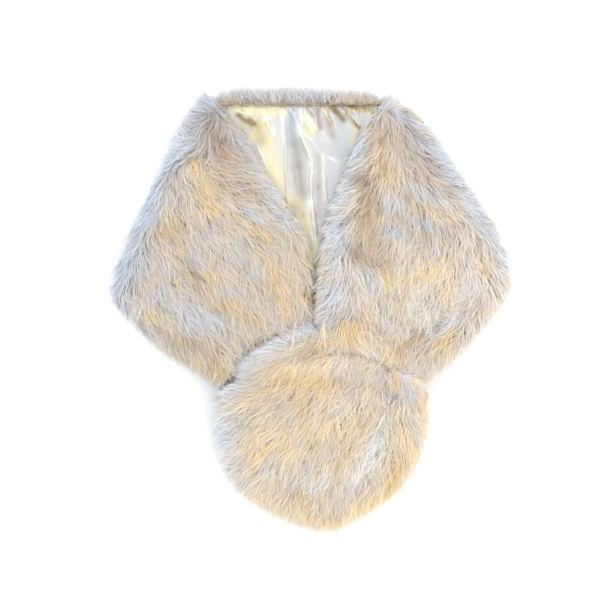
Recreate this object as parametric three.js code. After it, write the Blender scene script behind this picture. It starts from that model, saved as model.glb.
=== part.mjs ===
// A faux fur collar wrap, laid flat and fastened. It is one long strip of deep-pile fur cloth with a satin
// lining and two round ends. The strip is folded forward at both shoulders, so the back lies fur side down
// and the fronts lie fur side up, and the left end is drawn up through a slit across the right front.
// Millimetres, +Z up. The wrap rests on z = 0, and its neck edge points to +Y.
import * as THREE from "three";

// Heights. A fur solid reaches as far as the tips of its pile.
const BACK_PILE = 16; // the back's pile, pressed under the rest
const SATIN = 1; // the lining's wall
const SEAM = 0.3; // between pieces that touch
const LINING_Z = BACK_PILE + SEAM;
const UNDER_TOP = LINING_Z + SATIN; // everything that lies on the table stops here
const FRONT_Z = UNDER_TOP + SEAM; // everything that lies on that starts here
const FRONT_TOP = 41;
const BAND_TOP = 42;
const TAIL_TOP = 44;
const RIM_RISE = 11; // how far the pile curls up round the neck edge
const ROLL_EDGE = 13; // height of a rolled edge's outermost line, from above
const ROLL_LIFT = 6; // and how far its underside curls up there
const LEAST_WALL = 5;
const FLUSH = 37; // edge height of stretches whose piles run into each other
const DOME = 3; // how much lower a pad's corners are than its middle

// Widths in plan.
const ROLL = 14; // a shoulder fold or hem rolls down to the table over this width
const STEP = 2; // and its inner face slopes by this much
const RIM = 13; // the curled pile along the neck edge
const SOFT_EDGE = 22; // radius of a free fur edge
const JOIN = 1.1; // half the parting between two stretches that lie side by side
const LAP = 16; // how far the back's lining reaches under each front

// Outlines in plan, seen from above. Each line runs away from the neck or the shoulder, or from the wrap's
// left to its right.
const LEFT_INNER = [
  { x: -112, y: 229 }, { x: -83, y: 207 }, { x: -66, y: 176 }, { x: -50, y: 146 }, { x: -33, y: 121 },
  { x: -14, y: 95 }, { x: -1, y: 67 }, { x: 5, y: 38 }, { x: 6, y: 11 }, { x: 8, y: -14 },
];
const LEFT_FOLD = [
  { x: -112, y: 229 }, { x: -132, y: 202 }, { x: -161, y: 142 }, { x: -192, y: 76 }, { x: -212, y: 15 },
];
const LEFT_HEM = [
  { x: -212, y: 15 }, { x: -185, y: -15 }, { x: -162, y: -37 }, { x: -140, y: -52 }, { x: -119, y: -66 },
  { x: -92, y: -82 },
];
const RIGHT_INNER = [
  { x: 86, y: 228 }, { x: 67, y: 214 }, { x: 55, y: 190 }, { x: 41, y: 155 }, { x: 27, y: 119 },
  { x: 15, y: 90 }, { x: 9, y: 67 }, { x: 8, y: 37 }, { x: 7, y: 11 }, { x: 8, y: -14 },
];
const RIGHT_FOLD = [
  { x: 86, y: 228 }, { x: 120, y: 200 }, { x: 154, y: 150 }, { x: 189, y: 99 }, { x: 208, y: 58 },
  { x: 213, y: 28 },
];
const RIGHT_HEM = [
  { x: 213, y: 28 }, { x: 206, y: 11 }, { x: 186, y: -14 }, { x: 165, y: -39 }, { x: 143, y: -58 },
  { x: 123, y: -74 },
];
const BAND_UPPER = [
  { x: 8, y: -14 }, { x: -10, y: -20 }, { x: -26, y: -28 }, { x: -44, y: -38 }, { x: -58, y: -49 },
  { x: -70, y: -59 }, { x: -92, y: -82 },
];
const BAND_END = [{ x: 8, y: -14 }, { x: 20, y: -31 }, { x: 33, y: -42 }];
const BAND_LOWER = [
  { x: -92, y: -85 }, { x: -76, y: -74 }, { x: -59, y: -64 }, { x: -44, y: -56 }, { x: -27, y: -50 },
  { x: -9, y: -44 }, { x: 10, y: -41 }, { x: 33, y: -42 },
];
const SLIT = [
  { x: 33, y: -42 }, { x: 48, y: -43 }, { x: 65, y: -45 }, { x: 77, y: -54 }, { x: 88, y: -57 },
  { x: 105, y: -64 }, { x: 123, y: -74 },
];
const TAIL_LEFT = [
  { x: -92, y: -85 }, { x: -98, y: -104 }, { x: -98, y: -125 }, { x: -95, y: -146 }, { x: -88, y: -165 },
  { x: -79, y: -182 }, { x: -66, y: -195 },
];
const TAIL_RIGHT = [
  { x: 123, y: -75 }, { x: 123, y: -104 }, { x: 123, y: -125 }, { x: 120, y: -142 }, { x: 112, y: -160 },
  { x: 101, y: -178 }, { x: 86, y: -193 },
];
const TAIL_TIP = [
  { x: -66, y: -195 }, { x: -48, y: -207 }, { x: -26, y: -218 }, { x: -5, y: -226 }, { x: 18, y: -231 },
  { x: 38, y: -223 }, { x: 62, y: -210 }, { x: 86, y: -193 },
];
const END_TOP = [
  { x: -90, y: -87 }, { x: -78, y: -73 }, { x: 3, y: -72 }, { x: 86, y: -70 }, { x: 111, y: -65 },
  { x: 122, y: -78 },
];
const BACK_NECK = [
  { x: -91, y: 230 }, { x: -63, y: 232 }, { x: -27, y: 233 }, { x: 6, y: 232 }, { x: 42, y: 229 },
  { x: 64, y: 229 },
];
const BACK_LEFT = [
  { x: -91, y: 230 }, { x: -114, y: 193 }, { x: -143, y: 133 }, { x: -172, y: 73 }, { x: -190, y: 24 },
];
const BACK_RIGHT = [
  { x: 64, y: 229 }, { x: 98, y: 189 }, { x: 134, y: 139 }, { x: 168, y: 88 }, { x: 187, y: 53 },
  { x: 196, y: 26 },
];
const BACK_HEM = [
  { x: -190, y: 24 }, { x: -116, y: 8 }, { x: 3, y: 1 }, { x: 126, y: 11 }, { x: 196, y: 26 },
];
const UNDER_LEFT = [
  { x: -189, y: 22 }, { x: -172, y: -1 }, { x: -150, y: -21 }, { x: -129, y: -35 }, { x: -108, y: -49 },
  { x: -82, y: -65 },
];
const UNDER_RIGHT = [
  { x: 195, y: 24 }, { x: 192, y: 18 }, { x: 173, y: -4 }, { x: 152, y: -27 }, { x: 131, y: -46 },
  { x: 113, y: -60 },
];

// The right end is as wide as the tail that covers it and a little longer.
const END_MIDDLE = { x: 12, y: -150 };
const END_GROWTH = { x: 1.01, y: 1.037 };
const END_LINING_SIZE = 0.965; // the fur turns under round its lining

// The back's lining, from below the rim to where the fronts close over it.
const LINING = { top: 214, bottom: 16, rows: 9, fromFold: 4 };

// The largest folds: soft troughs in a pile's top.
const LEFT_TROUGHS = [
  { fromX: -104, fromY: 200, toX: -70, toY: 152, width: 9, size: 4 },
  { fromX: -58, fromY: 128, toX: -20, toY: 72, width: 13, size: 5 },
  { fromX: -150, fromY: 96, toX: -104, toY: 40, width: 16, size: 3 },
  { fromX: -118, fromY: 18, toX: -70, toY: -34, width: 15, size: 4 },
];
const RIGHT_TROUGHS = [
  { fromX: 92, fromY: -48, toX: 168, toY: 13, width: 12, size: 8 }, // gathers towards the slit
  { fromX: 62, fromY: 10, toX: 84, toY: -34, width: 11, size: 4 },
  { fromX: 70, fromY: 96, toX: 40, toY: 34, width: 14, size: 4 },
  { fromX: 150, fromY: 112, toX: 128, toY: 56, width: 15, size: 3 },
];
const TAIL_TROUGHS = [
  { fromX: 92, fromY: -66, toX: 84, toY: -112, width: 11, size: 6 }, // the parting under the slit's end
  { fromX: 48, fromY: -52, toX: 22, toY: -86, width: 10, size: 4 },
  { fromX: 66, fromY: -96, toX: 26, toY: -150, width: 14, size: 3 },
  { fromX: -30, fromY: -90, toX: -58, toY: -150, width: 14, size: 3 },
];

// The lining's folds: ridges that run down from the gathered neck seam.
const LINING_FOLDS = [
  { fromX: -82, fromY: 213, toX: -65, toY: 208, width: 2.5, size: 2.5 },
  { fromX: -50, fromY: 214, toX: -40, toY: 187, width: 3, size: 3 },
  { fromX: -63, fromY: 196, toX: -40, toY: 204, width: 3, size: 2 },
  { fromX: -29, fromY: 214, toX: -24, toY: 99, width: 3, size: 4 }, // a pleat that runs most of the way down
  { fromX: -23, fromY: 214, toX: -13, toY: 196, width: 3, size: 3 },
  { fromX: -9, fromY: 214, toX: -9, toY: 198, width: 3, size: 2.5 },
  { fromX: -11, fromY: 193, toX: 2, toY: 156, width: 3, size: 4.5 },
  { fromX: 2, fromY: 158, toX: 1, toY: 114, width: 3, size: 5 },
  { fromX: 1, fromY: 118, toX: 7, toY: 74, width: 3, size: 5 },
  { fromX: 7, fromY: 78, toX: 7, toY: 47, width: 3, size: 4.5 },
  { fromX: -10, fromY: 192, toX: 13, toY: 167, width: 3, size: 3 },
  { fromX: 13, fromY: 167, toX: 32, toY: 150, width: 3, size: 3 },
  { fromX: 13, fromY: 165, toX: 19, toY: 111, width: 3, size: 3.5 },
  { fromX: -1, fromY: 214, toX: 6, toY: 203, width: 3, size: 2.5 },
  { fromX: 14, fromY: 214, toX: 23, toY: 196, width: 3.5, size: 4 },
  { fromX: 30, fromY: 214, toX: 52, toY: 192, width: 3.5, size: 4 },
  { fromX: 42, fromY: 214, toX: 61, toY: 202, width: 3.5, size: 3 },
];

const FUR = { color: 0xdcc9ad, roughness: 0.95, metalness: 0 };
const LINING_SATIN = { color: 0xefe6c8, roughness: 0.35, metalness: 0 };

const { clamp, lerp, smoothstep } = THREE.MathUtils;

// A smooth line through an outline's points, moved sideways to its left by inset.
function edge(outline, inset = 0) {
  const through = (points) => new THREE.CatmullRomCurve3(points, false, "centripetal");
  const curve = through(outline.map(({ x, y }) => new THREE.Vector3(x, y, 0)));
  if (inset === 0) return curve;
  const samples = 24;
  const moved = curve.getSpacedPoints(samples).map((point, k) => {
    const along = curve.getTangentAt(k / samples);
    return new THREE.Vector3(point.x - along.y * inset, point.y + along.x * inset, 0);
  });
  return through(moved);
}

// Where an outline that runs towards -Y crosses the height y.
function crossing(outline, y) {
  const next = clamp(outline.findIndex((point) => point.y < y), 1, outline.length - 1);
  const [before, after] = [outline[next - 1], outline[next]];
  return lerp(before.x, after.x, clamp((before.y - y) / (before.y - after.y), 0, 1));
}

// Distances along an edge: fixed ones in from each end, and even ones between.
function stations(length, { near, between, far }) {
  const first = near.at(-1);
  const last = length - far[0];
  const middle = Array.from({ length: between }, (_, k) => lerp(first, last, (k + 1) / (between + 1)));
  return [...near, ...middle, ...far.map((distance) => length - distance)];
}

// A four-sided patch of cloth between its edges, as a Coons patch. Sides a and b run from the start edge to
// the end edge. Every point knows how far in it lies from each edge, and its share of the way from start to
// end and from a to b.
function patch({ a, b, start, end, rows, columns }) {
  const lines = { a, b, start, end };
  const length = Object.fromEntries(Object.entries(lines).map(([name, line]) => [name, line.getLength()]));
  const at = (name, distance) => lines[name].getPointAt(clamp(distance / length[name], 0, 1));
  const down = { a: stations(length.a, rows), b: stations(length.b, rows) };
  const over = { start: stations(length.start, columns), end: stations(length.end, columns) };
  const corner = { a0: at("a", 0), b0: at("b", 0), a1: at("a", length.a), b1: at("b", length.b) };
  return down.a.map((_, i) => {
    const s = (down.a[i] / length.a + down.b[i] / length.b) / 2;
    const left = at("a", down.a[i]);
    const right = at("b", down.b[i]);
    return over.start.map((_, j) => {
      const w = (over.start[j] / length.start + over.end[j] / length.end) / 2;
      const top = at("start", over.start[j]);
      const foot = at("end", over.end[j]);
      const blend = (axis) => {
        const betweenSides = lerp(left[axis], right[axis], w);
        const betweenEnds = lerp(top[axis], foot[axis], s);
        const firstRow = lerp(corner.a0[axis], corner.b0[axis], w);
        const lastRow = lerp(corner.a1[axis], corner.b1[axis], w);
        return betweenSides + betweenEnds - lerp(firstRow, lastRow, s);
      };
      const inward = {
        a: lerp(over.start[j], over.end[j], s),
        b: lerp(length.start - over.start[j], length.end - over.end[j], s),
        start: lerp(down.a[i], down.b[i], w),
        end: lerp(length.a - down.a[i], length.b - down.b[i], w),
      };
      return { x: blend("x"), y: blend("y"), s, w, inward };
    });
  });
}

// One closed body between a bottom and a top surface over a patch.
function body(name, grid, bottomOf, topOf, finish) {
  const rows = grid.length;
  const columns = grid[0].length;
  const [lastRow, lastColumn] = [rows - 1, columns - 1];
  const positions = [bottomOf, topOf].flatMap((heightOf) =>
    grid.flat().flatMap((point) => [point.x, point.y, heightOf(point)]),
  );
  const bottom = (i, j) => i * columns + j;
  const top = (i, j) => rows * columns + bottom(i, j);
  const [origin, below, beside] = [grid[0][0], grid[1][0], grid[0][1]];
  const turn = (below.x - origin.x) * (beside.y - origin.y) - (below.y - origin.y) * (beside.x - origin.x);
  const faces = [];
  const triangle = (p, q, r) => faces.push(...(turn > 0 ? [p, q, r] : [p, r, q]));
  const quad = (p, q, r, t) => {
    triangle(p, q, r);
    triangle(p, r, t);
  };
  for (let i = 0; i < lastRow; i += 1) {
    for (let j = 0; j < lastColumn; j += 1) {
      quad(top(i, j), top(i + 1, j), top(i + 1, j + 1), top(i, j + 1));
      quad(bottom(i, j), bottom(i, j + 1), bottom(i + 1, j + 1), bottom(i + 1, j));
    }
    quad(top(i, 0), bottom(i, 0), bottom(i + 1, 0), top(i + 1, 0));
    quad(top(i, lastColumn), top(i + 1, lastColumn), bottom(i + 1, lastColumn), bottom(i, lastColumn));
  }
  for (let j = 0; j < lastColumn; j += 1) {
    quad(top(0, j), top(0, j + 1), bottom(0, j + 1), bottom(0, j));
    quad(top(lastRow, j), bottom(lastRow, j), bottom(lastRow, j + 1), top(lastRow, j + 1));
  }
  const geometry = new THREE.BufferGeometry();
  geometry.setAttribute("position", new THREE.Float32BufferAttribute(positions, 3));
  geometry.setIndex(faces);
  geometry.computeVertexNormals();
  const mesh = new THREE.Mesh(geometry, new THREE.MeshStandardMaterial(finish));
  mesh.name = name;
  return mesh;
}

// 0 on a rounded edge and 1 from its radius inwards, along a quarter of an ellipse.
function shoulder(inward, radius) {
  return Math.sqrt(1 - (1 - clamp(inward / radius, 0, 1)) ** 2);
}

// How much of a fold is felt at a point: most on the middle of its line, and less beside it.
function felt(fold, { x, y }) {
  const [dx, dy] = [fold.toX - fold.fromX, fold.toY - fold.fromY];
  const along = clamp(((x - fold.fromX) * dx + (y - fold.fromY) * dy) / (dx * dx + dy * dy), 0, 1);
  const away = Math.hypot(x - fold.fromX - along * dx, y - fold.fromY - along * dy);
  const taper = 0.35 + 0.65 * Math.sin(Math.PI * along);
  return fold.size * taper * Math.exp(-((away / fold.width) ** 2));
}

// A stretch of fur cloth that lies fur side up, as a thick pad. Each edge has the height that its pile rounds
// down to. An edge that rolls goes down to the table, and its underside curls up there.
function furStretch({ name, grid, crown, edges, troughs = [] }) {
  const rolling = Object.keys(edges).filter((side) => edges[side].rolls);
  const bottomOf = ({ inward }) => {
    const toRoll = Math.min(...rolling.map((side) => inward[side]), Infinity);
    return toRoll < ROLL + STEP / 2 ? ROLL_LIFT * (1 - shoulder(toRoll, 9)) : FRONT_Z;
  };
  const topOf = (point) => {
    const crowned = crown - DOME * (1 - Math.sin(Math.PI * point.s) * Math.sin(Math.PI * point.w));
    const drops = Object.entries(edges).map(([side, { height, radius = SOFT_EDGE }]) => {
      const low = 1 - shoulder(point.inward[side], radius);
      return (crowned - height) * low;
    });
    const drop = Math.max(...drops);
    const hollow = troughs.reduce((sum, fold) => sum + felt(fold, point), 0);
    return Math.max(crowned - drop - hollow * (1 - drop / crowned), bottomOf(point) + LEAST_WALL);
  };
  return body(name, grid, bottomOf, topOf, FUR);
}

function leftFront() {
  const grid = patch({
    a: edge(LEFT_INNER, -JOIN),
    b: edge(LEFT_HEM),
    start: edge(LEFT_FOLD),
    end: edge(BAND_UPPER, -JOIN),
    rows: { near: [0, 4, 9, ROLL, ROLL + STEP, 23], between: 11, far: [20, 10, 4, 0] },
    columns: { near: [0, 4, 10, 20], between: 9, far: [23, ROLL + STEP, ROLL, 9, 4, 0] },
  });
  return furStretch({
    name: "left_front_fur",
    grid,
    crown: FRONT_TOP,
    edges: {
      start: { height: ROLL_EDGE, rolls: true },
      b: { height: ROLL_EDGE, rolls: true },
      a: { height: FRONT_Z + 8 },
      end: { height: FRONT_Z + 12 },
    },
    troughs: LEFT_TROUGHS,
  });
}

function rightFront() {
  const grid = patch({
    a: edge(RIGHT_INNER, JOIN),
    b: edge(RIGHT_HEM),
    start: edge(RIGHT_FOLD),
    end: edge([...BAND_END, ...SLIT.slice(1)], JOIN),
    rows: { near: [0, 4, 9, ROLL, ROLL + STEP, 23], between: 11, far: [20, 10, 4, 0] },
    columns: { near: [0, 4, 10, 20], between: 9, far: [23, ROLL + STEP, ROLL, 9, 4, 0] },
  });
  return furStretch({
    name: "right_front_fur",
    grid,
    crown: FRONT_TOP,
    edges: {
      start: { height: ROLL_EDGE, rolls: true },
      b: { height: ROLL_EDGE, rolls: true },
      a: { height: FRONT_Z + 11 },
      end: { height: FLUSH, radius: 9 },
    },
    troughs: RIGHT_TROUGHS,
  });
}

// The strip of the right front that passes the slit's left end, over the left front.
function slitBand() {
  const upper = BAND_UPPER.slice(0, -1);
  const lower = BAND_LOWER.slice(1).reverse();
  const [a, b] = [edge(upper, JOIN), edge(lower, -JOIN)];
  const besideEnd = edge(BAND_END, -JOIN).points.slice(0, -1);
  const grid = patch({
    a,
    b,
    start: edge([...besideEnd, b.points[0]]),
    end: edge([a.points.at(-1), b.points.at(-1)]),
    rows: { near: [0, 5], between: 8, far: [12, 6, 0] },
    columns: { near: [0, 2], between: 3, far: [2, 0] },
  });
  return furStretch({
    name: "slit_band_fur",
    grid,
    crown: BAND_TOP,
    edges: {
      a: { height: FRONT_Z + 14, radius: 10 },
      b: { height: FLUSH, radius: 7 },
      start: { height: FLUSH, radius: 7 },
      end: { height: FRONT_Z + 8 },
    },
  });
}

// The left end, drawn up through the slit, lies fur side up over the right end.
function tail() {
  const grid = patch({
    a: edge(TAIL_LEFT),
    b: edge(TAIL_RIGHT),
    start: edge([...BAND_LOWER, ...SLIT.slice(1)], -JOIN),
    end: edge(TAIL_TIP),
    rows: { near: [0, 4, 10, 20], between: 9, far: [20, 10, 4, 0] },
    columns: { near: [0, 4, 10, 20], between: 10, far: [20, 10, 4, 0] },
  });
  return furStretch({
    name: "tail_fur",
    grid,
    crown: TAIL_TOP,
    edges: {
      a: { height: FRONT_Z + 7 },
      b: { height: FRONT_Z + 7 },
      start: { height: FLUSH, radius: 9 },
      end: { height: FRONT_Z + 7 },
    },
    troughs: TAIL_TROUGHS,
  });
}

function grown(outline, growth) {
  return outline.map(({ x, y }) => ({
    x: END_MIDDLE.x + (x - END_MIDDLE.x) * growth.x,
    y: END_MIDDLE.y + (y - END_MIDDLE.y) * growth.y,
  }));
}

function endPatch(rows, columns, size = 1) {
  const sized = (outline) => edge(grown(outline, { x: size, y: size }));
  return patch({
    a: sized([END_TOP[0], ...grown(TAIL_LEFT.slice(1), END_GROWTH)]),
    b: sized([END_TOP.at(-1), ...grown(TAIL_RIGHT.slice(1), END_GROWTH)]),
    start: sized(END_TOP),
    end: sized(grown(TAIL_TIP, END_GROWTH)),
    rows,
    columns,
  });
}

// The right end lies under the tail, with its lining on the table.
function rightEnd() {
  const spaced = { near: [0, 4, 10], between: 6, far: [10, 4, 0] };
  const rounded = ({ inward }, radius) => shoulder(Math.min(inward.a, inward.b, inward.end), radius);
  const topOf = (point) => lerp(ROLL_EDGE, UNDER_TOP, rounded(point, 10));
  const bottomOf = (point) => SATIN + SEAM + ROLL_LIFT * (1 - rounded(point, 9));
  return body("end_fur", endPatch(spaced, spaced), bottomOf, topOf, FUR);
}

function endLining() {
  const spaced = { near: [0], between: 7, far: [0] };
  const grid = endPatch(spaced, spaced, END_LINING_SIZE);
  return body("end_lining", grid, () => 0, () => SATIN, LINING_SATIN);
}

// The back, fur side down. Its pile curls up round the neck edge as a rim.
function back() {
  const grid = patch({
    a: edge(BACK_NECK),
    b: edge(BACK_HEM),
    start: edge(BACK_LEFT),
    end: edge(BACK_RIGHT),
    rows: { near: [0, 4, 10], between: 11, far: [10, 4, 0] },
    columns: { near: [0, 2, 5, 9, RIM, RIM + STEP], between: 5, far: [4, 0] },
  });
  const rimHeight = BACK_PILE - ROLL_EDGE + RIM_RISE;
  const topOf = ({ inward }) => {
    const round = Math.sin(Math.PI * clamp(0.12 + (0.76 * inward.a) / RIM, 0, 1));
    const ends = shoulder(Math.min(inward.start, inward.end), SOFT_EDGE);
    const hem = lerp(ROLL_EDGE, BACK_PILE, shoulder(inward.b, 4));
    return inward.a < RIM + STEP / 2 ? ROLL_EDGE + rimHeight * round * lerp(0.6, 1, ends) : hem;
  };
  const bottomOf = ({ inward }) => ROLL_LIFT * (1 - shoulder(inward.a, 9));
  return body("back_fur", grid, bottomOf, topOf, FUR);
}

// The satin behind the neck, gathered at the neck seam. It reaches under both fronts.
function backLining() {
  const heights = Array.from({ length: LINING.rows }, (_, k) =>
    lerp(LINING.top, LINING.bottom, k / (LINING.rows - 1)),
  );
  const left = heights.map((y) => {
    const x = Math.max(crossing(LEFT_INNER, y) - LAP, crossing(BACK_LEFT, y) + LINING.fromFold);
    return { x, y };
  });
  const right = heights.map((y) => {
    const x = Math.min(crossing(RIGHT_INNER, y) + LAP, crossing(BACK_RIGHT, y) - LINING.fromFold);
    return { x, y };
  });
  const grid = patch({
    a: edge(left),
    b: edge(right),
    start: edge([left[0], right[0]]),
    end: edge([left.at(-1), right.at(-1)]),
    rows: { near: [0, 4, 9, 15], between: 15, far: [0] },
    columns: { near: [0], between: 46, far: [0] },
  });
  const bottomOf = (point) => {
    const open = Math.min(point.x - crossing(LEFT_INNER, point.y), crossing(RIGHT_INNER, point.y) - point.x);
    const ridge = LINING_FOLDS.reduce((most, fold) => Math.max(most, felt(fold, point)), 0);
    return LINING_Z + ridge * smoothstep(open, 5, 11) * smoothstep(point.inward.start, 0, 5);
  };
  return body("back_lining", grid, bottomOf, (point) => bottomOf(point) + SATIN, LINING_SATIN);
}

// What lies hidden between the fronts and the table below the back's hem: the layers that meet at the slit,
// lined side down.
function underLayers() {
  const besideHem = BACK_HEM.slice(1, -1).map(({ x, y }) => ({ x, y: y - 2 }));
  const grid = patch({
    a: edge(UNDER_LEFT),
    b: edge(UNDER_RIGHT),
    start: edge([UNDER_LEFT[0], ...besideHem, UNDER_RIGHT[0]]),
    end: edge([UNDER_LEFT.at(-1), { x: 3, y: -69 }, { x: 84, y: -67 }, UNDER_RIGHT.at(-1)]),
    rows: { near: [0, 4], between: 5, far: [4, 0] },
    columns: { near: [0, 4], between: 10, far: [4, 0] },
  });
  const topOf = ({ inward }) => lerp(ROLL_EDGE, UNDER_TOP, shoulder(Math.min(...Object.values(inward)), 4));
  return body("front_lining", grid, () => 0, topOf, LINING_SATIN);
}

const wrap = new THREE.Group();
wrap.add(back(), backLining(), underLayers(), rightEnd(), endLining());
wrap.add(leftFront(), rightFront(), slitBand(), tail());

// The origin is the middle of the footprint.
const middle = new THREE.Box3().setFromObject(wrap).getCenter(new THREE.Vector3());
wrap.position.set(-middle.x, -middle.y, 0);

export default wrap;
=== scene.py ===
"""A faux fur collar wrap, laid flat on a pale floor and seen from straight above.

The pile is thousands of tapered hairs in locks, combed along the wrap by a few listed strokes, over a
dense underfur. The satin behind the neck is a fine gathered shell. All lengths are in metres.
"""

import logging
import math
from dataclasses import dataclass
from enum import Enum

import bmesh
import bpy
import numpy as np
from bpy.types import Material, Mesh, Node, NodeSocket, NodeTree, Object
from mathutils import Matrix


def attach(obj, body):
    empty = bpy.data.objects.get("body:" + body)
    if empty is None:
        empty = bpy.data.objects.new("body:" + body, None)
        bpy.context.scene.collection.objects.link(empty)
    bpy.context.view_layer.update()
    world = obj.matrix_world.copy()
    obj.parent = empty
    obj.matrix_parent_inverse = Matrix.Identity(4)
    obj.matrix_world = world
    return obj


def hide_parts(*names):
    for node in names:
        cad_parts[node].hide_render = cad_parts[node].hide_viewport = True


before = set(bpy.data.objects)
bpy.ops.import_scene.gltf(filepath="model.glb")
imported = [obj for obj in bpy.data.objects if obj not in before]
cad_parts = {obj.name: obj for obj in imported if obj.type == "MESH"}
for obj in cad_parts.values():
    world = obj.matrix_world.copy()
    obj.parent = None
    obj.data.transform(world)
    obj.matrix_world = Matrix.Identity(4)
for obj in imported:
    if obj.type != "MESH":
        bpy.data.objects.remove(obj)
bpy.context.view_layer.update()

LOG = logging.getLogger("fur wrap")
MM = 0.001
PHOTO_SIDE = 600  # pixels
PHOTO_SCALE = 1.05 * MM  # metres for one pixel
PHOTO_CENTRE = (310.5, 310.3)  # the pixel over the wrap's origin
UP = np.array([0.0, 0.0, 1.0])
NEIGHBOURS = [(1, 0), (-1, 0), (0, 1), (0, -1)]  # steps to the four cells around one

Pixel = tuple[float, float]
Colour = tuple[float, float, float, float]
Feed = float | Colour | NodeSocket


def at_pixel(px: float | list[float], py: float | list[float]) -> np.ndarray:
    """The place on the wrap that a photo pixel shows, as an array of x and y in metres."""
    x = (np.asarray(px, float) - PHOTO_CENTRE[0]) * PHOTO_SCALE
    y = (PHOTO_CENTRE[1] - np.asarray(py, float)) * PHOTO_SCALE
    return np.stack([x, y], axis=-1)


def unit(vectors: np.ndarray) -> np.ndarray:
    """Vectors divided by their lengths."""
    return vectors / np.maximum(np.linalg.norm(vectors, axis=-1, keepdims=True), 1e-12)


def turned(level: np.ndarray, angles: np.ndarray) -> np.ndarray:
    """Level vectors turned about Z by angles in radians."""
    c, s = np.cos(angles), np.sin(angles)
    x, y, z = level.T
    return np.stack([x * c - y * s, x * s + y * c, z], axis=1)


def smoothstep(value: np.ndarray, low: float, high: float) -> np.ndarray:
    """0 below low, 1 above high, and a smooth cubic between."""
    t = np.clip((value - low) / (high - low), 0.0, 1.0)
    return t * t * (3.0 - 2.0 * t)


def beside(start: Pixel, end: Pixel, x: np.ndarray, y: np.ndarray) -> tuple[np.ndarray, np.ndarray]:
    """Where points lie by a straight line between two photo pixels.

    Args:
        start: the line's first pixel.
        end: its last one.
        x: the points' x.
        y: the points' y.

    Returns:
        The share of the way along the line, and the distance from it in metres.
    """
    (x0, y0), (x1, y1) = at_pixel(*start), at_pixel(*end)
    dx, dy = x1 - x0, y1 - y0
    along = np.clip(((x - x0) * dx + (y - y0) * dy) / (dx * dx + dy * dy), 0, 1)
    return along, np.hypot(x - x0 - along * dx, y - y0 - along * dy)


class Slot(Enum):
    """The record's material slots."""

    FUR = "fur"
    SATIN = "satin"


@dataclass(frozen=True)
class Stroke:
    """One stroke of a comb: at a photo pixel, the pile lies towards heading, in degrees from +X."""

    px: float
    py: float
    heading: float


@dataclass(frozen=True)
class Fold:
    """A soft ridge or, with a negative height, a trough, between two photo pixels. Width and height in mm."""

    start: Pixel
    end: Pixel
    width: float
    height: float

    ENDS = 0.35  # the share of its height that a fold keeps at its ends

    def raised(self, x: np.ndarray, y: np.ndarray) -> np.ndarray:
        """The fold's height over points: a bell across it, and fullest at its middle.

        Args:
            x: the points' x.
            y: the points' y.

        Returns:
            The height at each point.
        """
        along, away = beside(self.start, self.end, x, y)
        bell = np.exp(-((away / (self.width * MM)) ** 2))
        return self.height * MM * (self.ENDS + (1 - self.ENDS) * np.sin(np.pi * along)) * bell


@dataclass(frozen=True)
class Tint:
    """A soft streak of colour between two photo pixels, with its width in pixels. Many streaks paint light and
    shade.

    warm is 1 for the warm colour and -1 for the cool one. Along the pile's outline the cool colour is a
    painted bluish shade and halo, and on the satin the butter and the grey-blue are painted reflection and
    shade of its folds. The last value is 1 for the dark colour, which paints shade in gaps, creases and
    grooves as well as the pile's brown patches, and -1 for the bright one, which paints light on the pile and
    highlights on the satin.
    """

    start: Pixel
    end: Pixel
    width: float
    warm: float
    painted_shade_and_brown: float = 0.0


@dataclass(frozen=True)
class Spill:
    """Where tips reach further past an outline than elsewhere, or less far. radius in pixels, reach in mm."""

    px: float
    py: float
    radius: float
    reach: float


def each(kind: type, *rows: tuple) -> tuple:
    """One object of a kind for each row of its values."""
    return tuple(kind(*row) for row in rows)


# Strokes of the comb: the pixel and the heading
LEFT_STROKES = each(Stroke,
    (204, 100, 140), (176, 122, 175), (163, 155, 215), (190, 168, -45), (188, 143, 170), (222, 128, -75),
    (240, 160, -22), (255, 190, -33), (215, 195, -50), (225, 175, -12), (240, 185, -22), (180, 215, -60),
    (146, 195, -130), (158, 235, -60), (118, 268, -125), (133, 230, -128), (168, 190, -75), (138, 268, -62),
    (125, 292, -55), (145, 315, -38), (175, 340, -45), (200, 362, -62), (215, 378, -88), (236, 336, -62),
    (262, 285, -68), (285, 250, -82), (225, 270, -62), (190, 280, -52), (308, 300, -112), (278, 332, -78),
    (300, 235, -70), (272, 205, -45), (246, 140, -50), (118, 305, -120), (160, 350, -120), (113, 278, -140),
)
RIGHT_STROKES = each(Stroke,
    (388, 98, 70), (398, 131, -86), (425, 141, -25), (392, 112, -88), (380, 116, -112), (372, 122, -130),
    (411, 118, -28), (400, 103, 15), (453, 178, -20), (440, 160, -10), (462, 195, -26), (484, 223, -38),
    (506, 270, -45), (361, 141, -140), (345, 178, -165), (338, 200, -172), (331, 233, -145), (323, 274, -138),
    (329, 304, -128), (392, 166, -93), (412, 194, -84), (371, 223, -100), (392, 243, -108), (366, 256, -20),
    (380, 264, -60), (463, 300, -142), (422, 233, -120), (443, 272, -90), (402, 294, -95), (368, 270, -76),
    (382, 304, -68), (473, 294, -128), (450, 306, -142), (441, 325, -146), (482, 318, -80), (452, 352, -88),
    (428, 372, -85), (392, 338, -98), (371, 325, -76), (351, 329, -50), (470, 240, -85), (415, 340, -140),
    (340, 160, -160), (330, 318, -150),
)
BAND_STROKES = each(Stroke,
    (330, 326, 165), (312, 330, 150), (290, 332, 145), (268, 340, 150), (250, 356, 155), (238, 372, 165),
    (335, 340, -150), (312, 343, -165), (290, 346, -160), (270, 354, -165), (255, 366, -165),
    (300, 354, -130), (325, 352, -125), (280, 360, -138), (345, 342, -120),
)
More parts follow.
